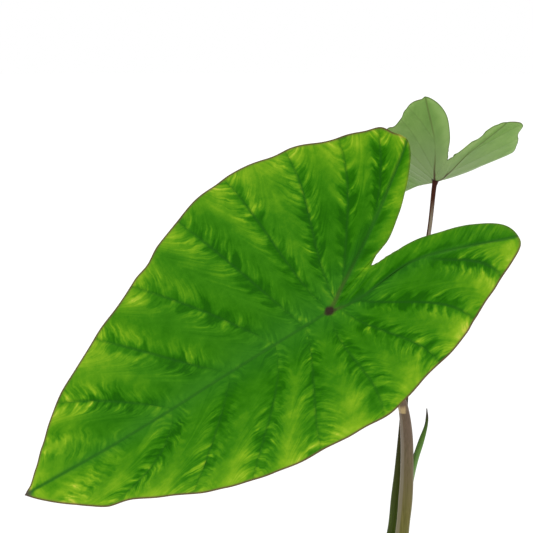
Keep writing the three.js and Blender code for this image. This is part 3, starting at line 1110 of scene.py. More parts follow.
    def layered(self, tree: Tree, places: Socket, base: Socket) -> Socket:
        """Lays the layers over the skin's colour, in their order.

        Args:
            tree: the material's nodes.
            places: places on the object.
            base: the colour below them.

        Returns:
            The finished colour.
        """
        specks = add_node(tree, "TexNoise", {
            "Vector": places, "Scale": 1 / (self.speck_mm * MM), "Detail": 2.0,
        }).outputs["Fac"]
        for layer in self.layers:
            value = add_node(tree, "Attribute", attribute_name=layer.attribute).outputs["Fac"]
            if layer.ragged:
                value = add_node(tree, "Math", {
                    0: specks, 1: 4 * layer.ragged, 2: value,
                }, operation="MULTIPLY_ADD").outputs[0]
            factor = add_node(tree, "MapRange", {
                "Value": value, "From Min": layer.near + 2 * layer.ragged,
                "From Max": layer.far + 2 * layer.ragged, "To Min": layer.strength, "To Max": 0.0,
            }, interpolation_type="SMOOTHSTEP").outputs[0]
            if layer.tone:
                tone = add_node(tree, "Attribute", attribute_name=layer.tone).outputs["Fac"]
                factor = add_node(tree, "Math", {0: factor, 1: tone}, operation="MULTIPLY").outputs[0]
            base = add_node(tree, "Mix", {
                0: factor, 6: base, 7: linear(layer.colour),
            }, data_type="RGBA").outputs[2]
        return base

    def material(self) -> bpy.types.Material:
        """Builds the skin's node material.

        Returns:
            The material.
        """
        tree, shader = new_material(self.name)
        places = add_node(tree, "TexCoord").outputs["Object"]
        strokes = self.feathering(tree, places)
        level = self.level(tree, places, strokes)
        base = add_node(tree, "ValToRGB", {"Fac": level}, stops=self.stops).outputs[0]
        base = self.layered(tree, places, base)
        cells = add_node(tree, "TexNoise", {
            "Vector": places, "Scale": 1 / (self.cell_mm * MM), "Detail": 2.0,
        }).outputs["Fac"]
        rough = add_node(tree, "MapRange", {
            "Value": cells, "To Min": self.roughness - 0.06, "To Max": self.roughness + 0.08,
        }).outputs[0]
        height = add_node(tree, "Math", {
            0: strokes[0], 1: 0.5, 2: cells,
        }, operation="MULTIPLY_ADD").outputs[0]
        bump = add_node(tree, "Bump", {
            "Height": height, "Strength": 0.35, "Distance": self.cell_depth_mm * MM,
        }).outputs[0]
        tree.links.new(base, shader.inputs["Base Color"])
        tree.links.new(rough, shader.inputs["Roughness"])
        tree.links.new(bump, shader.inputs["Normal"])
        shader.inputs["Specular IOR Level"].default_value = self.specular
        shader.inputs["IOR"].default_value = self.ior
        return bpy.data.materials[self.name]


@dataclass(frozen=True)
class StalkSkin:
    """Smooth skin of a petiole: fine fibres run along it, and its colour changes with height.

    fibre_mm, fibre_length_mm and fibre_depth_mm: size and bump of the fibres, which are drawn a few
    times too coarse so that they show.
    heights: the lowest and highest place of the colour stops, in mm over the ground.
    patch: an optional dry tan scar, as lowest height, highest height and its limit along X, in mm.
    stripe: an optional line of another colour along the stalk, as its strength and its colour, which
    lies round the stalk's own stripe_turn and is as wide as stripe_edge, the cosine of its half width.
    It lies between the two stripe_heights and fades in over stripe_fade, in mm.
    """

    name: str
    heights: tuple[float, float]
    stops: tuple[tuple[float, str], ...]
    fibre_mm: float = 0.5
    fibre_length_mm: float = 22.0
    fibre_depth_mm: float = 0.15
    roughness: float = 0.45
    patch: tuple[float, float, float] | None = None
    patch_colour: str = "#b89f74"
    stripe: tuple[float, str] | None = None
    stripe_edge: float = 0.9
    stripe_heights: tuple[float, float] = (0.0, 500.0)
    stripe_fade: float = 12.0
    specular: float = 0.12

    def scarred(self, tree: Tree, parts: Sequence[Socket], fibres: Socket, base: Socket) -> Socket:
        """Lays the dry scar over the skin's colour.

        Args:
            tree: the material's nodes.
            parts: the place along X, Y and Z.
            fibres: the pattern that frays the scar's upper edge.
            base: the colour below it.

        Returns:
            The colour with the scar.
        """
        low, high, limit = self.patch
        ragged = add_node(tree, "Math", {
            0: fibres, 1: 3 * MM, 2: parts[2],
        }, operation="MULTIPLY_ADD").outputs[0]
        above = add_node(tree, "MapRange", {
            "Value": parts[2], "From Min": low * MM, "From Max": (low + 0.5) * MM,
        }).outputs[0]
        below = add_node(tree, "MapRange", {
            "Value": ragged, "From Min": high * MM, "From Max": (high + 2.5) * MM,
            "To Min": 1.0, "To Max": 0.0,
        }).outputs[0]
        beside = add_node(tree, "MapRange", {
            "Value": parts[0], "From Min": (limit - 0.8) * MM, "From Max": (limit + 0.6) * MM,
            "To Min": 1.0, "To Max": 0.0,
        }).outputs[0]
        zone = add_node(tree, "Math", {0: above, 1: below}, operation="MULTIPLY").outputs[0]
        zone = add_node(tree, "Math", {0: zone, 1: beside}, operation="MULTIPLY").outputs[0]
        return add_node(tree, "Mix", {
            0: zone, 6: base, 7: linear(self.patch_colour),
        }, data_type="RGBA").outputs[2]

    def striped(self, tree: Tree, height: Socket, base: Socket) -> Socket:
        """Lays the stripe over the skin's colour.

        Args:
            tree: the material's nodes.
            height: the height over the ground, in metres.
            base: the colour below it.

        Returns:
            The colour with the stripe.
        """
        strength, colour = self.stripe
        across = add_node(tree, "Attribute", attribute_name="stripe").outputs["Fac"]
        zone = add_node(tree, "MapRange", {
            "Value": across, "From Min": self.stripe_edge, "From Max": 0.5 + 0.5 * self.stripe_edge,
            "To Min": 0.0, "To Max": strength,
        }, interpolation_type="SMOOTHSTEP").outputs[0]
        for end, inward in zip(self.stripe_heights, (self.stripe_fade, -self.stripe_fade)):
            within = add_node(tree, "MapRange", {
                "Value": height, "From Min": end * MM, "From Max": (end + inward) * MM,
            }).outputs[0]
            zone = add_node(tree, "Math", {0: zone, 1: within}, operation="MULTIPLY").outputs[0]
        return add_node(tree, "Mix", {0: zone, 6: base, 7: linear(colour)}, data_type="RGBA").outputs[2]

    def material(self) -> bpy.types.Material:
        """Builds the skin's node material.

        Returns:
            The material.
        """
        tree, shader = new_material(self.name)
        places = add_node(tree, "TexCoord").outputs["Object"]
        scale = (1 / (self.fibre_mm * MM), 1 / (self.fibre_mm * MM), 1 / (self.fibre_length_mm * MM))
        along = add_node(tree, "Mapping", {"Vector": places, "Scale": scale}).outputs[0]
        fibres = add_node(tree, "TexNoise", {
            "Vector": along, "Scale": 1.0, "Detail": 3.0, "Roughness": 0.6,
        }).outputs["Fac"]
        parts = add_node(tree, "SeparateXYZ", {0: places}).outputs
        height = add_node(tree, "MapRange", {
            "Value": parts[2], "From Min": self.heights[0] * MM, "From Max": self.heights[1] * MM,
        }).outputs[0]
        shifted = add_node(tree, "Math", {
            0: fibres, 1: 0.16, 2: height,
        }, operation="MULTIPLY_ADD").outputs[0]
        moved = add_node(tree, "Math", {0: shifted, 1: 0.08}, operation="SUBTRACT").outputs[0]
        base = add_node(tree, "ValToRGB", {"Fac": moved}, stops=self.stops).outputs[0]
        tint = add_node(tree, "MapRange", {
            "Value": fibres, "From Min": 0.3, "From Max": 0.7, "To Min": 0.72, "To Max": 1.2,
        }).outputs[0]
        base = add_node(tree, "VectorMath", {0: base, "Scale": tint}, operation="SCALE").outputs[0]
        if self.patch:
            base = self.scarred(tree, parts, fibres, base)
        if self.stripe:
            base = self.striped(tree, parts[2], base)
        bump = add_node(tree, "Bump", {
            "Height": fibres, "Strength": 0.5, "Distance": self.fibre_depth_mm * MM,
        }).outputs[0]
        tree.links.new(base, shader.inputs["Base Color"])
        tree.links.new(bump, shader.inputs["Normal"])
        shader.inputs["Roughness"].default_value = self.roughness
        shader.inputs["Specular IOR Level"].default_value = self.specular
        return bpy.data.materials[self.name]


@dataclass(frozen=True)
class GrainFinish:
    """A matt or satin solid whose colour varies in two grain sizes, with a bump of the finer one.

    dark, mid and light: its colours; coarse_mm and fine_mm: sizes of its blotches and of its grain;
    bump_mm: depth of the grain.
    """

    name: str
    dark: str
    mid: str
    light: str
    coarse_mm: float
    fine_mm: float
    roughness: float
    bump_mm: float
    specular: float = 0.5

    def material(self) -> bpy.types.Material:
        """Builds the finish's node material.

        Returns:
            The material.
        """
        tree, shader = new_material(self.name)
        places = add_node(tree, "TexCoord").outputs["Object"]
        coarse, fine = (
            add_node(tree, "TexNoise", {
                "Vector": places, "Scale": 1 / (size * MM), "Detail": 4.0, "Roughness": 0.6,
            }).outputs["Fac"]
            for size in (self.coarse_mm, self.fine_mm)
        )
        mixed = add_node(tree, "Math", {0: coarse, 1: fine}, operation="ADD").outputs[0]
        level = add_node(tree, "MapRange", {"Value": mixed, "From Min": 0.7, "From Max": 1.3}).outputs[0]
        stops = ((0.0, self.dark), (1.0, self.light), (0.5, self.mid))
        base = add_node(tree, "ValToRGB", {"Fac": level}, stops=stops).outputs[0]
        rough = add_node(tree, "MapRange", {
            "Value": fine, "To Min": self.roughness - 0.1, "To Max": self.roughness + 0.1,
        }).outputs[0]
        bump = add_node(tree, "Bump", {
            "Height": fine, "Strength": 0.6, "Distance": self.bump_mm * MM,
        }).outputs[0]
        tree.links.new(base, shader.inputs["Base Color"])
        tree.links.new(rough, shader.inputs["Roughness"])
        tree.links.new(bump, shader.inputs["Normal"])
        shader.inputs["Specular IOR Level"].default_value = self.specular
        return bpy.data.materials[self.name]


@dataclass(frozen=True)
class Stalk:
    """A petiole or the rolled leaf: a tapering tube along a smooth path, closed at both ends.

    nodes: x, y, z and radius in mm, from the corm up. ridges and ridge_depth: shallow ridges along it.
    scroll: how far the outer edge of a rolled leaf laps over its inner one, as a share of its radius.
    stripe_turn: the way round to its stripe, in turns. steps and sides: lengths and sides of the tube.
    """

    name: str
    node: str
    slot: str
    nodes: tuple[tuple[float, float, float, float], ...]
    finish: StalkSkin
    ridges: int = 0
    ridge_depth: float = 0.0
    scroll: float = 0.0
    stripe_turn: float = 0.75
    steps: int = 150
    sides: int = 64

    @staticmethod
    def between(four: np.ndarray, share: float) -> np.ndarray:
        """Finds a place between the middle two of four points, on a curve that doesn't overshoot.

        Args:
            four: the points, one in each row.
            share: the share of the way from the second to the third.

        Returns:
            The place.
        """
        spans = [np.linalg.norm(four[i + 1] - four[i]) ** 0.5 for i in range(3)]
        speeds = [(four[i + 1] - four[i]) / spans[i] for i in range(3)]
        across = [(four[i + 2] - four[i]) / (spans[i] + spans[i + 1]) for i in range(2)]
        leave = (speeds[0] - across[0] + speeds[1]) * spans[1]
        arrive = (speeds[1] - across[1] + speeds[2]) * spans[1]
        return cubic(four[1], four[2], leave, arrive, share)

    def path(self) -> tuple[np.ndarray, np.ndarray]:
        """Follows the stalk on the same curve as the solid one.

        Returns:
            Places and radii along it, in mm.
        """
        knots = np.array(self.nodes, float)
        before, after = 2 * knots[0] - knots[1], 2 * knots[-1] - knots[-2]
        ends = np.vstack([before, knots, after])[:, :3]
        pieces = len(self.nodes) - 1
        stations = np.arange(self.steps + 1) / self.steps * pieces
        firsts = np.minimum(stations.astype(int), pieces - 1)
        places = [self.between(ends[first:first + 4], station - first)
                  for first, station in zip(firsts, stations)]
        radii = through([(i, node[3]) for i, node in enumerate(self.nodes)])(stations)[:, 1]
        return np.array(places), radii

    def build(self) -> bpy.types.Object:
        """Builds the tube, ring by ring, from a circle that is extruded along the path.

        Returns:
            The finished object with its skin.
        """
        places, radii = self.path()
        tangents = np.gradient(places, axis=0)
        tangents /= np.linalg.norm(tangents, axis=1, keepdims=True)
        tangents[0] = (0, 0, 1)
        turn = np.arange(self.sides) / self.sides
        rings = []
        for step, (place, radius, facing) in enumerate(zip(places, radii, tangents)):
            along = step / self.steps
            across = np.array([1.0, 0, 0]) - facing[0] * facing
            across /= np.linalg.norm(across)
            beside = np.cross(facing, across)
            reach = radius * np.ones(self.sides)
            if self.ridges:
                reach = reach - self.ridge_depth * (0.5 - 0.5 * np.cos(2 * np.pi * self.ridges * turn))
            if self.scroll:
                reach = reach * (1 + self.scroll * (turn - 0.5) * math.sin(math.pi * along))
            ring = place + reach[:, None] * (
                np.cos(2 * np.pi * turn)[:, None] * across + np.sin(2 * np.pi * turn)[:, None] * beside)
            rings.append(ring)
        points = np.concatenate(rings)
        faces = []
        for step in range(self.steps):
            low, high = step * self.sides, (step + 1) * self.sides
            for side in range(self.sides):
                beyond = (side + 1) % self.sides
                faces.append((low + side, low + beyond, high + beyond, high + side))
        top = self.steps * self.sides
        faces.append(tuple(range(self.sides - 1, -1, -1)))
        faces.append(tuple(range(top, top + self.sides)))
        mesh = bpy.data.meshes.new(self.name)
        mesh.from_pydata((points * MM).tolist(), [], faces)
        stripe = np.tile(np.cos(2 * np.pi * (turn - self.stripe_turn)), self.steps + 1)
        attribute = mesh.attributes.new("stripe", "FLOAT", "POINT")
        attribute.data.foreach_set("value", stripe.astype(np.float32))
        tube = bpy.data.objects.new(self.name, mesh)
        bpy.context.scene.collection.objects.link(tube)
        select_only(tube)
        bpy.ops.object.shade_smooth_by_angle(angle=math.radians(40))
        mesh.materials.append(self.finish.material())
        return tube


@dataclass(frozen=True)
class Turned:
    """A body of revolution that is spun from a profile of radius and height in mm."""

    name: str
    profile: tuple[Point2, ...]
    segments: int = 160

    def build(self) -> bpy.types.Object:
        """Extrudes the profile from one point and spins it round the Z axis.

        Returns:
            The closed object, without materials.
        """
        mesh = bpy.data.meshes.new(self.name)
        body = bpy.data.objects.new(self.name, mesh)
        bpy.context.scene.collection.objects.link(body)
        radius, height = self.profile[0]
        mesh.from_pydata([(radius * MM, 0, height * MM)], [], [])
        select_only(body)
        bpy.ops.object.mode_set(mode="EDIT")
        bpy.ops.mesh.select_all(action="SELECT")
        for (from_radius, from_height), (to_radius, to_height) in zip(self.profile, self.profile[1:]):
            step = ((to_radius - from_radius) * MM, 0, (to_height - from_height) * MM)
            bpy.ops.mesh.extrude_region_move(TRANSFORM_OT_translate={"value": step})
        bpy.ops.mesh.select_all(action="SELECT")
        bpy.ops.mesh.spin(steps=self.segments, angle=2 * math.pi, center=(0, 0, 0), axis=(0, 0, 1))
        bpy.ops.mesh.select_all(action="SELECT")
        bpy.ops.mesh.remove_doubles(threshold=0.01 * MM)
        bpy.ops.mesh.normals_make_consistent(inside=False)
        bpy.ops.object.mode_set(mode="OBJECT")
        bpy.ops.object.shade_smooth_by_angle(angle=math.radians(35))
        return body


def bevelled(points: Sequence[tuple[float, float, float]], steps: int = 4) -> tuple[Point2, ...]:
    """Rounds the corners of a profile.

    Args:
        points: radius, height and size of the rounding of each corner, in mm.
        steps: number of lengths that stand for one rounding.

    Returns:
        The rounded profile as radius and height.
    """
    rounded: list[Point2] = []
    for number, (radius, height, size) in enumerate(points):
        corner = np.array((radius, height))
        if size <= 0 or number in (0, len(points) - 1):
            rounded.append((radius, height))
            continue
        before = np.array(points[number - 1][:2]) - corner
        after = np.array(points[number + 1][:2]) - corner
        start = corner + before / np.linalg.norm(before) * size
        end = corner + after / np.linalg.norm(after) * size
        for step in range(steps + 1):
            t = step / steps
            place = (1 - t) ** 2 * start + 2 * t * (1 - t) * corner + t ** 2 * end
            rounded.append((float(place[0]), float(place[1])))
    return tuple(rounded)


@dataclass(frozen=True)
class Pot:
    """A plain tapered nursery pot: a moulded wall with a stepped rim band and drainage holes.

    Sizes in mm. rim_band and rim_step: height of the rim band and how far it stands out; foot_width:
    of the ring that it stands on; recess: depth of the underside within that ring; centre_radius: of
    the boss in the middle; hole_ring: radius of the circle that the holes lie on. Its plastic is
    injection-moulded and coloured through, so the eye sees an even satin matt with a faint grain.
    """

    height: float = 140.0
    base_radius: float = 54.0
    top_radius: float = 73.0
    wall: float = 2.4
    rim_band: float = 16.0
    rim_step: float = 3.0
    foot_width: float = 8.0
    recess: float = 2.0
    centre_radius: float = 18.0
    floor: float = 4.4
    hole_radius: float = 5.0
    hole_ring: float = 32.0
    holes: int = 6
    finish: GrainFinish = GrainFinish(
        name="moulded_polypropylene_terracotta", dark="#a65a3a", mid="#b0623f", light="#b96a47",
        coarse_mm=46.0, fine_mm=0.6, roughness=0.46, bump_mm=0.04, specular=0.4)

    def outer(self, height: float) -> float:
        """Radius of the wall's outer face at a height."""
        return self.base_radius + (self.top_radius - self.base_radius) * height / self.height

    def build(self) -> list[bpy.types.Object]:
        """Spins the pot and cuts its drainage holes.

        Returns:
            The dressed pot.
        """
        foot_inner = self.base_radius - self.foot_width
        band_foot = self.height - self.rim_band
        inner_top = self.outer(self.height) - self.wall
        rim = self.outer(self.height) + self.rim_step
        corners = (
            (0, 0, 0),
            (self.centre_radius, 0, 0.4),
            (self.centre_radius + 1, self.recess, 0.4),
            (foot_inner - 1, self.recess, 0.4),
            (foot_inner, 0, 0.5),
            (self.base_radius, 0, 1.2),
            (self.outer(band_foot), band_foot, 0.5),
            (self.outer(band_foot) + self.rim_step, band_foot, 0.7),
            (rim, self.height, 1.2),
            (inner_top, self.height, 1.0),
            (self.outer(self.floor) - self.wall, self.floor, 2.0),
            (0, self.floor, 0),
        )
        shell = Turned("pot_shell", bevelled(corners)).build()
        for number in range(self.holes):
            angle = 2 * math.pi * number / self.holes
            place = (self.hole_ring * MM * math.cos(angle), self.hole_ring * MM * math.sin(angle), 0)
            bpy.ops.object.select_all(action="DESELECT")
            bpy.ops.mesh.primitive_cylinder_add(
                vertices=32, radius=self.hole_radius * MM, depth=4 * self.floor * MM, location=place)
            drill = bpy.context.object
            cut = shell.modifiers.new("drainage", "BOOLEAN")
            cut.object = drill
            cut.operation = "DIFFERENCE"
            cut.solver = "EXACT"
            select_only(shell)
            bpy.ops.object.modifier_apply(modifier=cut.name)
            bpy.data.objects.remove(drill)
        shell.data.materials.clear()
        shell.data.materials.append(self.finish.material())
        select_only(shell)
        bpy.ops.object.shade_smooth_by_angle(angle=math.radians(35))
        return [dress(shell, "pot_plastic", "pot")]


class Crumb(Enum):
    """Kinds of loose pieces in a peat and bark potting mix, each a material slot of the chips."""

    BARK = 0
    PERLITE = 1
    PEAT = 2


@dataclass(frozen=True)
class Soil:
    """Peat and bark potting mix: a lumpy bed with bark chips, perlite grains and peat crumbs on it.

    Sizes in mm. surface and bottom: heights of the bed; relief: height of its broad lumps; grit:
    height of its fine ones; corm_radius and corm_foot: of the hole for the corm; gap: between the bed
    and the pot's wall. The bed's peat is damp, so the eye sees a dull dark brown, with dry red-brown
    bark, chalky white perlite and nearly black crumbs on it.
    """

    pot: Pot = Pot()
    surface: float = 125.0
    relief: float = 1.4
    grit: float = 0.8
    corm_radius: float = 16.3
    corm_foot: float = 77.7
    bottom: float = 4.7
    gap: float = 0.3
    rings: int = 46
    chips: int = 1150
    seed: int = 7
    bed_finish: GrainFinish = GrainFinish(
        name="damp_peat", dark="#1d140e", mid="#3a291d", light="#5a4432",
        coarse_mm=6.0, fine_mm=1.1, roughness=0.92, bump_mm=0.9, specular=0.25)
    crumb_finishes: tuple[GrainFinish, ...] = (
        GrainFinish(name="pine_bark_chips", dark="#2c1a10", mid="#5f4029", light="#9a7454",
                    coarse_mm=11.0, fine_mm=0.7, roughness=0.85, bump_mm=0.3, specular=0.3),
        GrainFinish(name="expanded_perlite", dark="#b9b3a6", mid="#dcd8cf", light="#f2f0ea",
                    coarse_mm=2.5, fine_mm=0.5, roughness=0.9, bump_mm=0.2, specular=0.3),
        GrainFinish(name="peat_crumbs", dark="#1c130d", mid="#35251a", light="#513b2b",
                    coarse_mm=3.0, fine_mm=0.6, roughness=0.95, bump_mm=0.3, specular=0.2),
    )

    def wall(self, height: float) -> float:
        """Radius at which the soil meets the pot's wall at a height, in mm."""
        return self.pot.outer(height) - self.pot.wall - self.gap

    def lumps(self, x: float, y: float) -> float:
        """Raises the bed: the solid soil's broad lumps, and finer ones.

        Args:
            x: the place along X, in mm.
            y: the place along Y, in mm.

        Returns:
            The height over the mean surface, in mm.
        """
        width = self.wall(self.surface) - self.corm_radius
        across = min(max((math.hypot(x, y) - self.corm_radius) / width, 0), 1)
        broad = math.sin(0.21 * x + 0.9) * math.cos(0.17 * y - 0.4) + 0.6 * math.sin(0.33 * x - 0.29 * y)
        pebbles = noise.noise(Vector((x / 3.1, y / 3.1, 4.0)))
        grains = noise.noise(Vector((x / 1.3, y / 1.3, 9.0)))
        fade = math.sin(math.pi * across)
        return self.relief * broad * fade + self.grit * (pebbles + 0.6 * grains) * min(1, 3 * fade)

    def build_bed(self) -> bpy.types.Object:
        """Spins the bed and raises its lumps.

        Returns:
            The dressed bed.
        """
        wall, hole = self.wall(self.surface), self.corm_radius
        top = [(wall + (hole - wall) * i / self.rings, self.surface) for i in range(self.rings + 1)]
        profile = (
            (0, self.bottom),
            (self.wall(self.bottom), self.bottom),
            *top,
            (hole, self.corm_foot),
            (0, self.corm_foot),
        )
        bed = Turned("soil_bed", profile).build()
        for vertex in bed.data.vertices:
            if abs(vertex.co.z - self.surface * MM) < 0.01 * MM:
                vertex.co.z += self.lumps(vertex.co.x / MM, vertex.co.y / MM) * MM
        bed.data.materials.append(self.bed_finish.material())
        return dress(bed, "potting_mix", "soil")

    def crumb(self, kind: Crumb, chance: random.Random) -> bmesh.types.BMesh:
        """Makes one loose piece: a flat bark chip, a round perlite grain or a peat crumb.

        Args:
            kind: what it is.
            chance: the source of its size and shape.

        Returns:
            The piece about its own middle, in metres.
        """
        piece = bmesh.new()
        if kind is Crumb.BARK:
            bmesh.ops.create_cube(piece, size=1.0)
            bmesh.ops.bevel(piece, geom=piece.edges[:], offset=0.16, segments=1, affect="EDGES")
            size = (chance.uniform(2.5, 9.5), chance.uniform(1.8, 4.8), chance.uniform(1.0, 2.4))
        else:
            bmesh.ops.create_icosphere(piece, subdivisions=2, radius=0.5)
            across = chance.uniform(1.3, 3.4) if kind is Crumb.PERLITE else chance.uniform(0.9, 4.0)
            size = (across, across * chance.uniform(0.7, 1), across * chance.uniform(0.6, 0.9))
        seed = Vector([chance.uniform(0, 90) for _ in range(3)])
        for vertex in piece.verts:
            rough = 1 + 0.35 * noise.noise(vertex.co * 2.3 + seed)
            vertex.co = Vector([c * s * rough * MM for c, s in zip(vertex.co, size)])
        return piece

    def build_chips(self) -> bpy.types.Object:
        """Scatters the loose pieces over the bed, each sunk by part of its height.

        Returns:
            The dressed pieces as one object.
        """
        nearest, furthest = self.corm_radius + 5, self.wall(self.surface) - 6.5
        chance = random.Random(self.seed)
        mesh = bpy.data.meshes.new("soil_chips")
        whole = bmesh.new()
        kinds = [Crumb.BARK] * 4 + [Crumb.PERLITE] * 2 + [Crumb.PEAT] * 9
        for _ in range(self.chips):
            kind = chance.choice(kinds)
            radius = math.sqrt(chance.uniform(nearest ** 2, furthest ** 2))
            angle = chance.uniform(0, 2 * math.pi)
            x, y = radius * math.cos(angle), radius * math.sin(angle)
            piece = self.crumb(kind, chance)
            tilt = Vector((chance.uniform(-0.4, 0.4), chance.uniform(-0.4, 0.4), 1)).normalized()
            turn = tilt.to_track_quat("Z", "Y").to_matrix()
            spin = chance.uniform(0, 2 * math.pi)
            place = Vector((x, y, self.surface + self.lumps(x, y) + 0.1)) * MM
            for vertex in piece.verts:
                co = vertex.co.copy()
                flat = Vector((co.x * math.cos(spin) - co.y * math.sin(spin),
                               co.x * math.sin(spin) + co.y * math.cos(spin), co.z))
                vertex.co = turn @ flat + place
            for face in piece.faces:
                face.material_index = kind.value
            loose = bpy.data.meshes.new("loose")
            piece.to_mesh(loose)
            piece.free()
            whole.from_mesh(loose)
            bpy.data.meshes.remove(loose)
        whole.to_mesh(mesh)
        whole.free()
        chips = bpy.data.objects.new("soil_chips", mesh)
        bpy.context.scene.collection.objects.link(chips)
        for finish in self.crumb_finishes:
            mesh.materials.append(finish.material())
        return dress(chips, "potting_mix")

    def build(self) -> list[bpy.types.Object]:
        """Builds the bed and its loose pieces."""
        return [self.build_bed(), self.build_chips()]


@dataclass(frozen=True)
class Corm:
    """The swollen stem base: dry papery skin in rings, with its crown just out of the soil.

    Sizes in mm. scars: the rings that old leaves have left. The skin is dry and papery, so the eye
    sees a dull, uneven brown with fine flakes.
    """

    top: float = 128.0
    bottom: float = 78.0
    radius: float = 16.0
    crown_radius: float = 14.4
    tail_radius: float = 7.0
    scars: int = 4
    finish: GrainFinish = GrainFinish(
        name="papery_corm_skin", dark="#3d281a", mid="#6d4d38", light="#957152",
        coarse_mm=5.0, fine_mm=0.8, roughness=0.8, bump_mm=0.3, specular=0.3)

    def build(self) -> list[bpy.types.Object]:
        """Spins the ringed body.

        Returns:
            The dressed corm.
        """
        corners = [(0, self.bottom, 0), (self.tail_radius, self.bottom, 1.5)]
        ringed = self.top - 4 - self.bottom
        for scar in range(1, self.scars + 1):
            share = scar / self.scars
            height = self.bottom + ringed * share
            radius = self.tail_radius + (self.radius - self.tail_radius) * math.sqrt(share)
            corners.append((radius - 0.5, height - 1.2, 0.3))
            corners.append((radius, height, 0.4))
        corners.append((self.crown_radius, self.top, 1.4))
        corners.append((0, self.top, 0))
        body = Turned("corm_body", bevelled(corners), segments=96).build()
        body.data.materials.append(self.finish.material())
        return [dress(body, "corm_skin", "corm")]


def dress(piece: bpy.types.Object, slot: str, *nodes: str) -> bpy.types.Object:
    """Fastens a piece to the frame.

    Args:
        piece: the finished piece.
        slot: the record's material slot; not used.
        nodes: the solids that it stands for.

    Returns:
        The piece.
    """
    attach(piece, BODY)
    if nodes:
        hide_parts(*nodes)
    return piece


@dataclass(frozen=True)
class Studio:
    """A plain pale floor, soft studio light and the camera at the photograph's viewing angle.

    eye: the camera's place in mm; tilt: how far it looks down, in degrees; lens and sensor: focal
    length and width, in mm. key_direction: where the key light shines to; key_spread: its angular
    size, in degrees.
    """

    eye: Point3 = (-67.57, -891.24, 506.25)
    tilt: float = 8.0
    lens: float = 104.8
    sensor: float = 36.0
    world_light: float = 1.0
    key_light: float = 1.1
    key_direction: Point3 = (0.42, 0.62, -0.9)
    key_spread: float = 35.0

    def build(self) -> None:
        """Builds the floor, the lights and the camera."""
        scene = bpy.context.scene
        scene.view_settings.view_transform = "Standard"
        self.floor()
        world = bpy.data.worlds.new("studio")
        scene.world = world
        world.use_nodes = True
        tree = world.node_tree
        tree.nodes.clear()
        light = add_node(tree, "Background", {"Color": linear("#ffffff"), "Strength": self.world_light})
        add_node(tree, "OutputWorld", {"Surface": light.outputs[0]})
        key = bpy.data.lights.new("key", "SUN")
        key.energy = self.key_light
        key.angle = math.radians(self.key_spread)
        lamp = bpy.data.objects.new("key", key)
        lamp.rotation_euler = Vector(self.key_direction).to_track_quat("-Z", "Y").to_euler()
        scene.collection.objects.link(lamp)
        camera = bpy.data.objects.new("camera", bpy.data.cameras.new("camera"))
        camera.data.lens = self.lens
        camera.data.sensor_width = self.sensor
        camera.data.clip_end = 100.0
        camera.location = Vector(self.eye) * MM
        camera.rotation_euler = (math.radians(90 - self.tilt), 0, 0)
        scene.collection.objects.link(camera)
        scene.camera = camera

    def floor(self) -> None:
        """Lays a wide pale floor."""
        bpy.ops.object.select_all(action="DESELECT")
        bpy.ops.mesh.primitive_circle_add(vertices=96, radius=30.0, fill_type="NGON")
        floor = bpy.context.object
        floor.name = "studio_floor"
        _, shader = new_material("pale_studio_floor")
        shader.inputs["Base Color"].default_value = linear("#f4f4f4")
        shader.inputs["Roughness"].default_value = 0.9
        shader.inputs["Specular IOR Level"].default_value = 0.0
        floor.data.materials.append(bpy.data.materials["pale_studio_floor"])


# The upper skin of a colocasia leaf: waxy, so its gloss is soft and it keeps deep, clear greens.
LARGE_UPPER = LeafSkin(
    name="colocasia_leaf_upper",
    stops=((0.0, "#195400"), (1.0, "#a9b239"), (0.2, "#236200"), (0.4, "#327106"), (0.6, "#4d850c"),
           (0.8, "#709b16"), (0.91, "#86a824")),
    layers=(
        # Painted sheen: a grey-blue green beside the midrib and costae stands in for the soft gloss of the
        # waxy skin there.
        Layer("row", 0.0, 0.28, 0.24, "#2e6a22"),
        Layer("side_mm", 0.1, 1.5, 0.56, "#1b4e0c", tone="tone"),
        Layer("main_mm", 0.2, 1.7, 0.66, "#225612", tone="main_tone"),
        Layer("hub_vein", 1.0, 0.1, 0.42, "#4e5226"),
        Layer("hub_mm", 1.6, 4.2, 0.95, "#2c211b", ragged=0.8),
        Layer("margin_mm", 0.5, 2.0, 0.4, "#5f4b32", tone="brown"),
        Layer("margin_mm", 0.45, 1.0, 0.85, "#54402b", tone="brown"),
        Layer("tip_mm", 1.0, 6.5, 0.9, "#4a413d"),
    ),
)

# Its underside has no wax: paler, greyer and duller, with fainter feathering and purple veins.
LARGE_UNDER = LeafSkin(
    name="colocasia_leaf_underside",
    stops=((0.0, "#5a8046"), (1.0, "#a9bb7a"), (0.5, "#84a067")),
    layers=(
        Layer("side_mm", 0.4, 1.1, 0.5, "#5f7a4b"),
        Layer("main_mm", 0.7, 1.8, 0.7, "#7a6a54"),
        Layer("hub_vein", 1.0, 0.1, 0.85, "#4a3129"),
        Layer("margin_mm", 0.45, 1.0, 0.7, "#5f4a33"),
    ),
    contrast=(0.3, 0.5), vein_shade=0.08, roughness=0.55, specular=0.1,
)

# The underside of a young leaf is thin and even, with fine veins and hardly any feathering.
SMALL_UNDER = LeafSkin(
    name="young_leaf_underside",
    stops=((0.0, "#5a823a"), (1.0, "#9dba72"), (0.5, "#7b9e52")),
    layers=(
        Layer("hub_mm", 10.0, 44.0, 0.7, "#879b6c"),
        Layer("side_mm", 0.1, 0.6, 0.25, "#5f763f"),
        Layer("main_mm", 0.2, 0.75, 0.48, "#5a6634", tone="main_tone"),
        Layer("hub_vein", 1.0, 0.1, 0.9, "#46281f"),
        Layer("hub_mm", 1.5, 3.2, 0.95, "#2c1814"),
        Layer("margin_mm", 0.2, 0.55, 0.7, "#4c5c30"),
    ),
    strokes=(Stroke(1.6, 8.0, 0.2, 0.0), Stroke(5.0, 16.0, 0.2, 0.4)),
    contrast=(0.4, 0.6), vein_shade=0.05, roughness=0.55, specular=0.1,
)

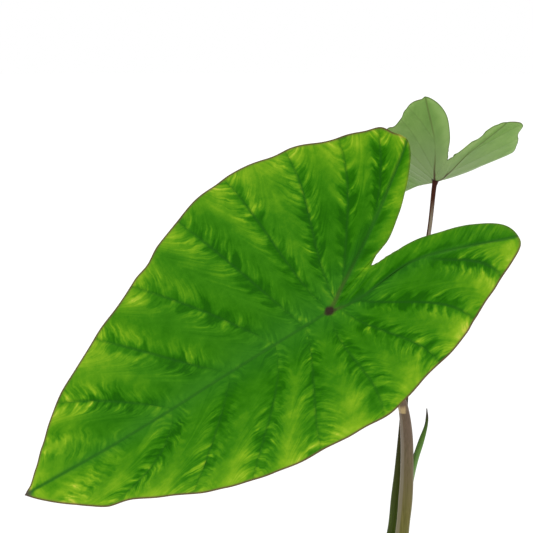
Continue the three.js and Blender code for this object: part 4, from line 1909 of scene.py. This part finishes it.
# The dried edge of the leaf: a hair-thin brown line without gloss.
LEAF_RIM = GrainFinish(
    name="leaf_margin", dark="#4b3a29", mid="#5f4a33", light="#75603f",
    coarse_mm=9.0, fine_mm=1.0, roughness=0.5, bump_mm=0.02, specular=0.2)

LARGE_LEAF = Blade(
    name="large_blade",
    node="leaf_1_blade",
    slot="large_leaf",
    place=LeafPlace((-33, -55, 364), (-0.854, -0.126, -0.505), (-0.434, 0.708, 0.557)),
    form=LeafForm(fold=0.375, fold_radius=15, lift=0.295, heel=0, droop=0.031, twist=0, lean=0),
    tip=(194, 5.2),
    midrib=((140, 1), (101, 0), (64, 0), (35, 0), (16, 0), (0, 0)),
    notch=(-33, 9),
    left=LeafHalf(
        costa=((-6, 4), (-15, 10), (-45, 26)),
        vein_ends=((173, 23), (155, 39), (119, 58), (86, 71), (45, 89), (10, 96), (-28, 90),
                   (-56, 75), (-77, 64)),
        bends=((3, 3), (5, 4), (0, 1), (5, 3), (1, 2), (-5, 3), (-6, 7), (0, 9), (4, 4)),
        lobe=(-86, 47),
        sinus_ends=((-38, 12), (-51, 16), (-75, 31)),
        waves=(
            (0.0, 0.0), (0.1, -0.3), (0.3, -1.1), (0.6, -0.5), (0.95, 0.6), (1.7, -1.0), (2.15, -0.3),
            (2.5, -1.15), (3.1, 0.3), (3.55, -1.0), (4.1, 0.6), (4.35, -1.2), (4.6, 0.1), (5.1, 0.6),
            (5.8, -1.1), (6.1, -0.3), (6.7, -0.8), (7.1, 0.95), (7.6, -0.5), (8.1, 0.9), (8.6, -0.75),
            (9.05, 0.6), (9.5, -1.3), (9.8, -0.6), (10.0, 0.0), (11.2, -0.7), (11.6, 0.0), (12.0, 0.4),
            (14.0, 0.0),
        ),
        flushes=(
            Flush(0.3, 0.7, 0.0, 0.26), Flush(1.75, 0.28, 0.6, 0.27), Flush(2.8, 0.25, 0.64, 0.26),
            Flush(3.2, 0.2, 0.65, 0.1), Flush(3.5, 0.2, 0.55, -0.12), Flush(3.82, 0.25, 0.7, 0.22),
            Flush(4.3, 0.2, 0.72, 0.12), Flush(4.5, 0.15, 0.6, -0.16), Flush(4.76, 0.2, 0.75, 0.18),
            Flush(5.3, 0.4, 0.2, -0.1), Flush(5.7, 0.25, 0.5, 0.18), Flush(6.35, 0.3, 0.8, 0.17),
            Flush(7.05, 0.25, 0.6, 0.22), Flush(7.35, 0.35, 0.1, -0.12), Flush(7.5, 0.3, 0.8, 0.18),
            Flush(7.75, 0.2, 0.65, 0.14), Flush(8.4, 0.5, 0.0, -0.08), Flush(8.4, 0.28, 0.6, 0.2),
            Flush(9.0, 0.3, 0.7, 0.2), Flush(9.5, 0.2, 0.7, -0.16), Flush(9.75, 0.35, -0.1, 0.36),
            Flush(1.4, 0.5, 0.1, -0.07, 0.5), Flush(4.0, 2.4, -0.2, 0.07, 0.1),
            Flush(7.2, 0.8, -0.2, 0.24, 0.1), Flush(9.6, 0.6, -0.2, 0.09, 0.35),
            Flush(0.15, 0.35, -0.1, 0.12),
        ),
        sinus_flush=0.14,
    ),
    right=LeafHalf(
        costa=((-6, -2), (-16, -4), (-57, -9)),
        vein_ends=((172, -20), (153, -37), (111, -66), (82, -82), (45, -91), (10, -93), (-28, -84),
                   (-55, -74), (-78, -65)),
        bends=((3, 3), (14, 13), (2, 2), (9, 1), (3, -3), (-8, 9), (-4, 10), (3, 14), (2, 11)),
        lobe=(-97, -52),
        sinus_ends=((-40, 7), (-54, 5), (-86, -17)),
        waves=(
            (0.0, 0.0), (0.3, 0.2), (1.5, 0.0), (1.95, 0.9), (2.28, -2.1), (2.65, -0.5), (3.15, 1.3),
            (3.55, 0.2), (3.95, -0.6), (4.3, 0.2), (4.7, 1.5), (5.1, 0.1), (5.4, 0.3), (5.7, -0.5),
            (6.1, 1.3), (6.4, 0.3), (6.75, -0.8), (7.3, 1.1), (7.7, 0.9), (8.0, -0.2), (8.4, -1.0),
            (8.8, 0.0), (9.3, 1.1), (9.65, 1.3), (10.0, 0.0), (10.4, 0.9), (10.95, -0.5), (11.4, 0.0),
            (11.75, 1.0), (12.3, -1.1), (12.55, -0.7), (12.85, 0.6), (13.1, 0.5), (13.4, -0.25),
            (13.8, -0.4), (14.0, 0.0),
        ),
        flushes=(
            Flush(0.35, 0.8, 0.0, 0.18), Flush(0.1, 0.5, 0.6, -0.1), Flush(1.0, 0.6, 0.0, 0.1),
            Flush(1.65, 0.5, 0.55, 0.16), Flush(2.4, 0.25, 0.8, 0.08), Flush(2.6, 0.25, 0.75, 0.12),
            Flush(3.15, 0.2, 0.8, 0.08), Flush(3.6, 0.2, 0.62, 0.22), Flush(4.25, 0.2, 0.4, -0.12),
            Flush(4.5, 0.18, 0.35, 0.2), Flush(4.75, 0.2, 0.8, 0.1), Flush(5.35, 0.25, 0.6, 0.14),
            Flush(5.65, 0.18, 0.6, 0.2), Flush(5.9, 0.12, 0.6, -0.1), Flush(6.6, 0.3, 0.68, 0.2),
            Flush(7.05, 0.2, 0.7, -0.12), Flush(7.62, 0.3, 0.8, 0.3), Flush(7.85, 0.2, 0.5, 0.12),
            Flush(8.7, 0.28, 0.66, 0.28), Flush(9.35, 0.24, 0.5, 0.14), Flush(9.6, 0.3, -0.1, 0.3),
            Flush(9.75, 0.2, 0.8, -0.2), Flush(1.3, 0.5, -0.2, 0.06, 0.12),
            Flush(7.2, 1.0, -0.2, 0.2, 0.16), Flush(9.6, 0.6, -0.2, 0.13, 0.12),
            Flush(0.65, 0.3, 0.15, -0.08, 0.6), Flush(0.35, 0.25, 0.65, 0.12, 0.9),
        ),
        sinus_flush=-0.04,
        vein_tone=(0.75, 1.35),
    ),
    midrib_rib=1.8,
    side_rib=0.8,
    quilt=0.045,
    scallop=0.5,
    wave=0.7,
    columns=22,
    rows=54,
    sinus_rows=26,
)

SMALL_LEAF = Blade(
    name="small_blade",
    node="leaf_2_blade",
    slot="small_leaf",
    place=LeafPlace((32.4, 25, 428.9), (-0.194, 0.975, -0.085), (0.956, 0.175, -0.232)),
    form=LeafForm(
        fold=0.49, fold_radius=1.2, lift=0.878, heel=0.354, droop=0.24, twist=0.234, lean=0.324),
    tip=(97, 0),
    midrib=((70, 0), (50, 0), (32, 0), (17, 0), (7, 0), (0, 0)),
    notch=(-21.8, -2.3),
    left=LeafHalf(
        costa=((-4, 1.8), (-13, 3.2), (-27.5, 7.4)),
        vein_ends=((86, 12), (75, 21), (59, 30), (45, 35), (29.5, 38.5), (13, 42.5), (-12, 38.8),
                   (-26, 35.2), (-38.5, 31)),
        bends=((1, 1), (1, 1), (2, 2), (2, 2), (2, 2), (2, 2), (1, 3), (1, 3), (1, 1)),
        lobe=(-42.3, 21),
        sinus_ends=((-25.3, -0.1), (-28.7, 2), (-42.3, 14.3)),
        waves=(
            (0.0, 0.0), (6.6, 0.4), (7.0, 1.0), (7.35, 0.4), (7.9, 0.4), (8.35, -1.1), (8.75, 0.4),
            (9.4, -0.4), (10.0, 0.0), (10.75, -1.2), (11.2, 0.3), (11.32, 0.5), (11.43, -1.5), (11.6, 1.0),
            (12.3, 1.0), (14.0, 0.0),
        ),
    ),
    right=LeafHalf(
        costa=((-3, -1.5), (-9, -4.3), (-26, -13.2)),
        vein_ends=((86, -12), (75, -21), (58, -32), (42, -39), (22, -45), (1.7, -47), (-12.7, -39.8),
                   (-25.2, -35.6), (-32.5, -35.5)),
        bends=((1, 1), (1, 1), (2, 2), (2, 2), (2, 2), (2, 2), (1, 3), (1, 3), (1, 1)),
        lobe=(-41.2, -28.8),
        sinus_ends=((-24.8, -2.9), (-27.2, -4.5), (-40.1, -14.2)),
        waves=(
            (0.0, 0.0), (7.0, 0.2), (7.2, 0.6), (7.45, -1.1), (8.0, 0.2), (8.3, 0.1), (8.75, -0.7),
            (9.2, -0.2), (9.8, -1.1), (10.0, 0.0), (11.3, 0.4), (11.65, 0.7), (12.0, 0.0), (12.35, -0.8),
            (14.0, 0.0),
        ),
    ),
    midrib_rib=0.6,
    side_rib=0.35,
    quilt=0.045,
    scallop=0.4,
    wave=0.6,
    columns=14,
    rows=34,
    sinus_rows=20,
    stains=(4.0, 22.0, 17.0),
    line_lengths=(500.0, 500.0, 20.0),
)

# Height at which the stalks leave the corm's crown, in mm.
CORM_TOP = 128.3

# A smooth waxy stalk, green at its foot and brown higher up, with a painted highlight: a pale stripe down
# one side.
LARGE_STALK = Stalk(
    name="large_stalk",
    node="petiole_1",
    slot="large_petiole",
    nodes=((2.5, -2, CORM_TOP, 8.8), (5.9, -2.5, 160, 6.6), (10.1, -3, 195, 4.8),
           (13.1, -3.2, 226, 4.0), (14.4, -3.7, 242, 4.2), (14.95, -4.5, 258, 3.95),
           (14.1, -7.5, 284, 3.6), (10.9, -12, 303, 2.9), (2, -22, 325, 2.7), (-14, -38, 346, 2.6)),
    finish=StalkSkin(
        name="large_petiole_skin", heights=(128, 350),
        stops=((0.0, "#5a6a2c"), (1.0, "#665242"), (0.46, "#6f6a34"), (0.6, "#6c6044"),
               (0.7, "#6d5c4c")),
        # The stripe is a painted highlight along the stalk's lit side.
        patch=(296.5, 301.0, 13.0), stripe=(0.4, "#998e82"), stripe_edge=0.78),
    stripe_turn=0.57,
    ridges=9,
    ridge_depth=0.12,
)

# The young stalk is darker, nearly black-green below and purple above.
SMALL_STALK = Stalk(
    name="small_stalk",
    node="petiole_2",
    slot="small_petiole",
    nodes=((-5, 3, CORM_TOP, 7.6), (-2, 4.8, 160, 5.5), (3, 6.6, 195, 3.7), (7.8, 8, 221, 2.9),
           (9.8, 8.5, 240, 3.05), (11.5, 9, 256, 2.9), (13.8, 10.5, 286, 2.4), (14.9, 12, 304, 2.1),
           (21.2, 17, 360, 1.5), (28.6, 21, 399, 1.3)),
    finish=StalkSkin(
        name="small_petiole_skin", heights=(128, 430),
        stops=((0.0, "#4a5a22"), (1.0, "#3a140c"), (0.35, "#425016"), (0.52, "#332c08"),
               (0.85, "#42280f"), (0.95, "#46200f")),
        fibre_mm=0.4, stripe=(0.75, "#8f8473"), stripe_edge=0.7, stripe_heights=(320.0, 418.0)),
    stripe_turn=0.775,
    ridges=7,
    ridge_depth=0.08,
)

# A leaf that hasn't unrolled: pale and juicy below, green above and dry and dark at its point.
ROLLED_LEAF = Stalk(
    name="rolled_blade",
    node="new_leaf",
    slot="rolled_leaf",
    nodes=((2.5, 1.5, CORM_TOP, 3), (5.6, 1.2, 160, 2.8), (9.8, 0.3, 195, 2.5),
           (13.1, -0.4, 226, 2.3), (16.9, -1.3, 252, 2.0), (20, -1, 266, 1.8), (23.6, 0.5, 277, 1.65),
           (26.5, 2, 286, 1.0), (27.1, 2.7, 290.5, 0.8), (27, 3.5, 296, 0.3)),
    finish=StalkSkin(
        name="rolled_leaf_skin", heights=(128, 297),
        stops=((0.0, "#7c9a60"), (1.0, "#2e221a"), (0.7, "#a3b58e"), (0.79, "#6c924c"), (0.9, "#54782c"),
               (0.94, "#465e26"), (0.965, "#33291c")),
        fibre_mm=0.35, fibre_length_mm=16.0, stripe=(0.7, "#3c4a24"), stripe_edge=0.8),
    stripe_turn=0.52,
    scroll=0.22,
    sides=48,
)


def stalk_top(stalk: Stalk, blade: Blade, radius: float) -> Stalk:
    """Ends a stalk in the ribs of its blade, where the solid stalk ends, with a small flared collar.

    Args:
        stalk: the stalk without its last node.
        blade: the blade that it carries.
        radius: its radius there, in mm.

    Returns:
        The whole stalk.
    """
    solid_thickness, clearance = 0.9, 0.3
    under = solid_thickness / 2 + blade.midrib_rib + clearance
    collar = ((under + 2, 1.05), (under, 1.3), (0.1, 1.4))
    attachment, out = np.array(blade.place.attachment), blade.place.axes()[2]
    last = [(*(attachment - depth * out).tolist(), radius * flare) for depth, flare in collar]
    return replace(stalk, nodes=(*stalk.nodes, *last))


def build_blade(blade: Blade, skins: Sequence[LeafSkin]) -> bpy.types.Object:
    """Builds a blade and gives each of its faces its skin.

    Args:
        blade: the blade.
        skins: its upper skin and its underside. The two blades share their upper skin and margin.

    Returns:
        The dressed blade.
    """
    piece = blade.build()
    for finish in (*skins, LEAF_RIM):
        piece.data.materials.append(bpy.data.materials.get(finish.name) or finish.material())
    return dress(piece, blade.slot, blade.node)


def main() -> None:
    """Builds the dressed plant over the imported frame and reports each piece."""
    logging.basicConfig(level=logging.INFO, format="%(name)s: %(message)s")
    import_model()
    Studio().build()
    pieces = [
        build_blade(LARGE_LEAF, (LARGE_UPPER, LARGE_UNDER)),
        build_blade(SMALL_LEAF, (LARGE_UPPER, SMALL_UNDER)),
    ]
    stalks = (
        stalk_top(LARGE_STALK, LARGE_LEAF, 2.6),
        stalk_top(SMALL_STALK, SMALL_LEAF, 1.4),
        ROLLED_LEAF,
    )
    pieces += [dress(stalk.build(), stalk.slot, stalk.node) for stalk in stalks]
    for assembly in (Corm(), Soil(), Pot()):
        pieces += assembly.build()
    for piece in pieces:
        LOG.info("%s: %d points, %d faces", piece.name, len(piece.data.vertices), len(piece.data.polygons))
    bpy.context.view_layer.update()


if __name__ == "__main__":
    main()
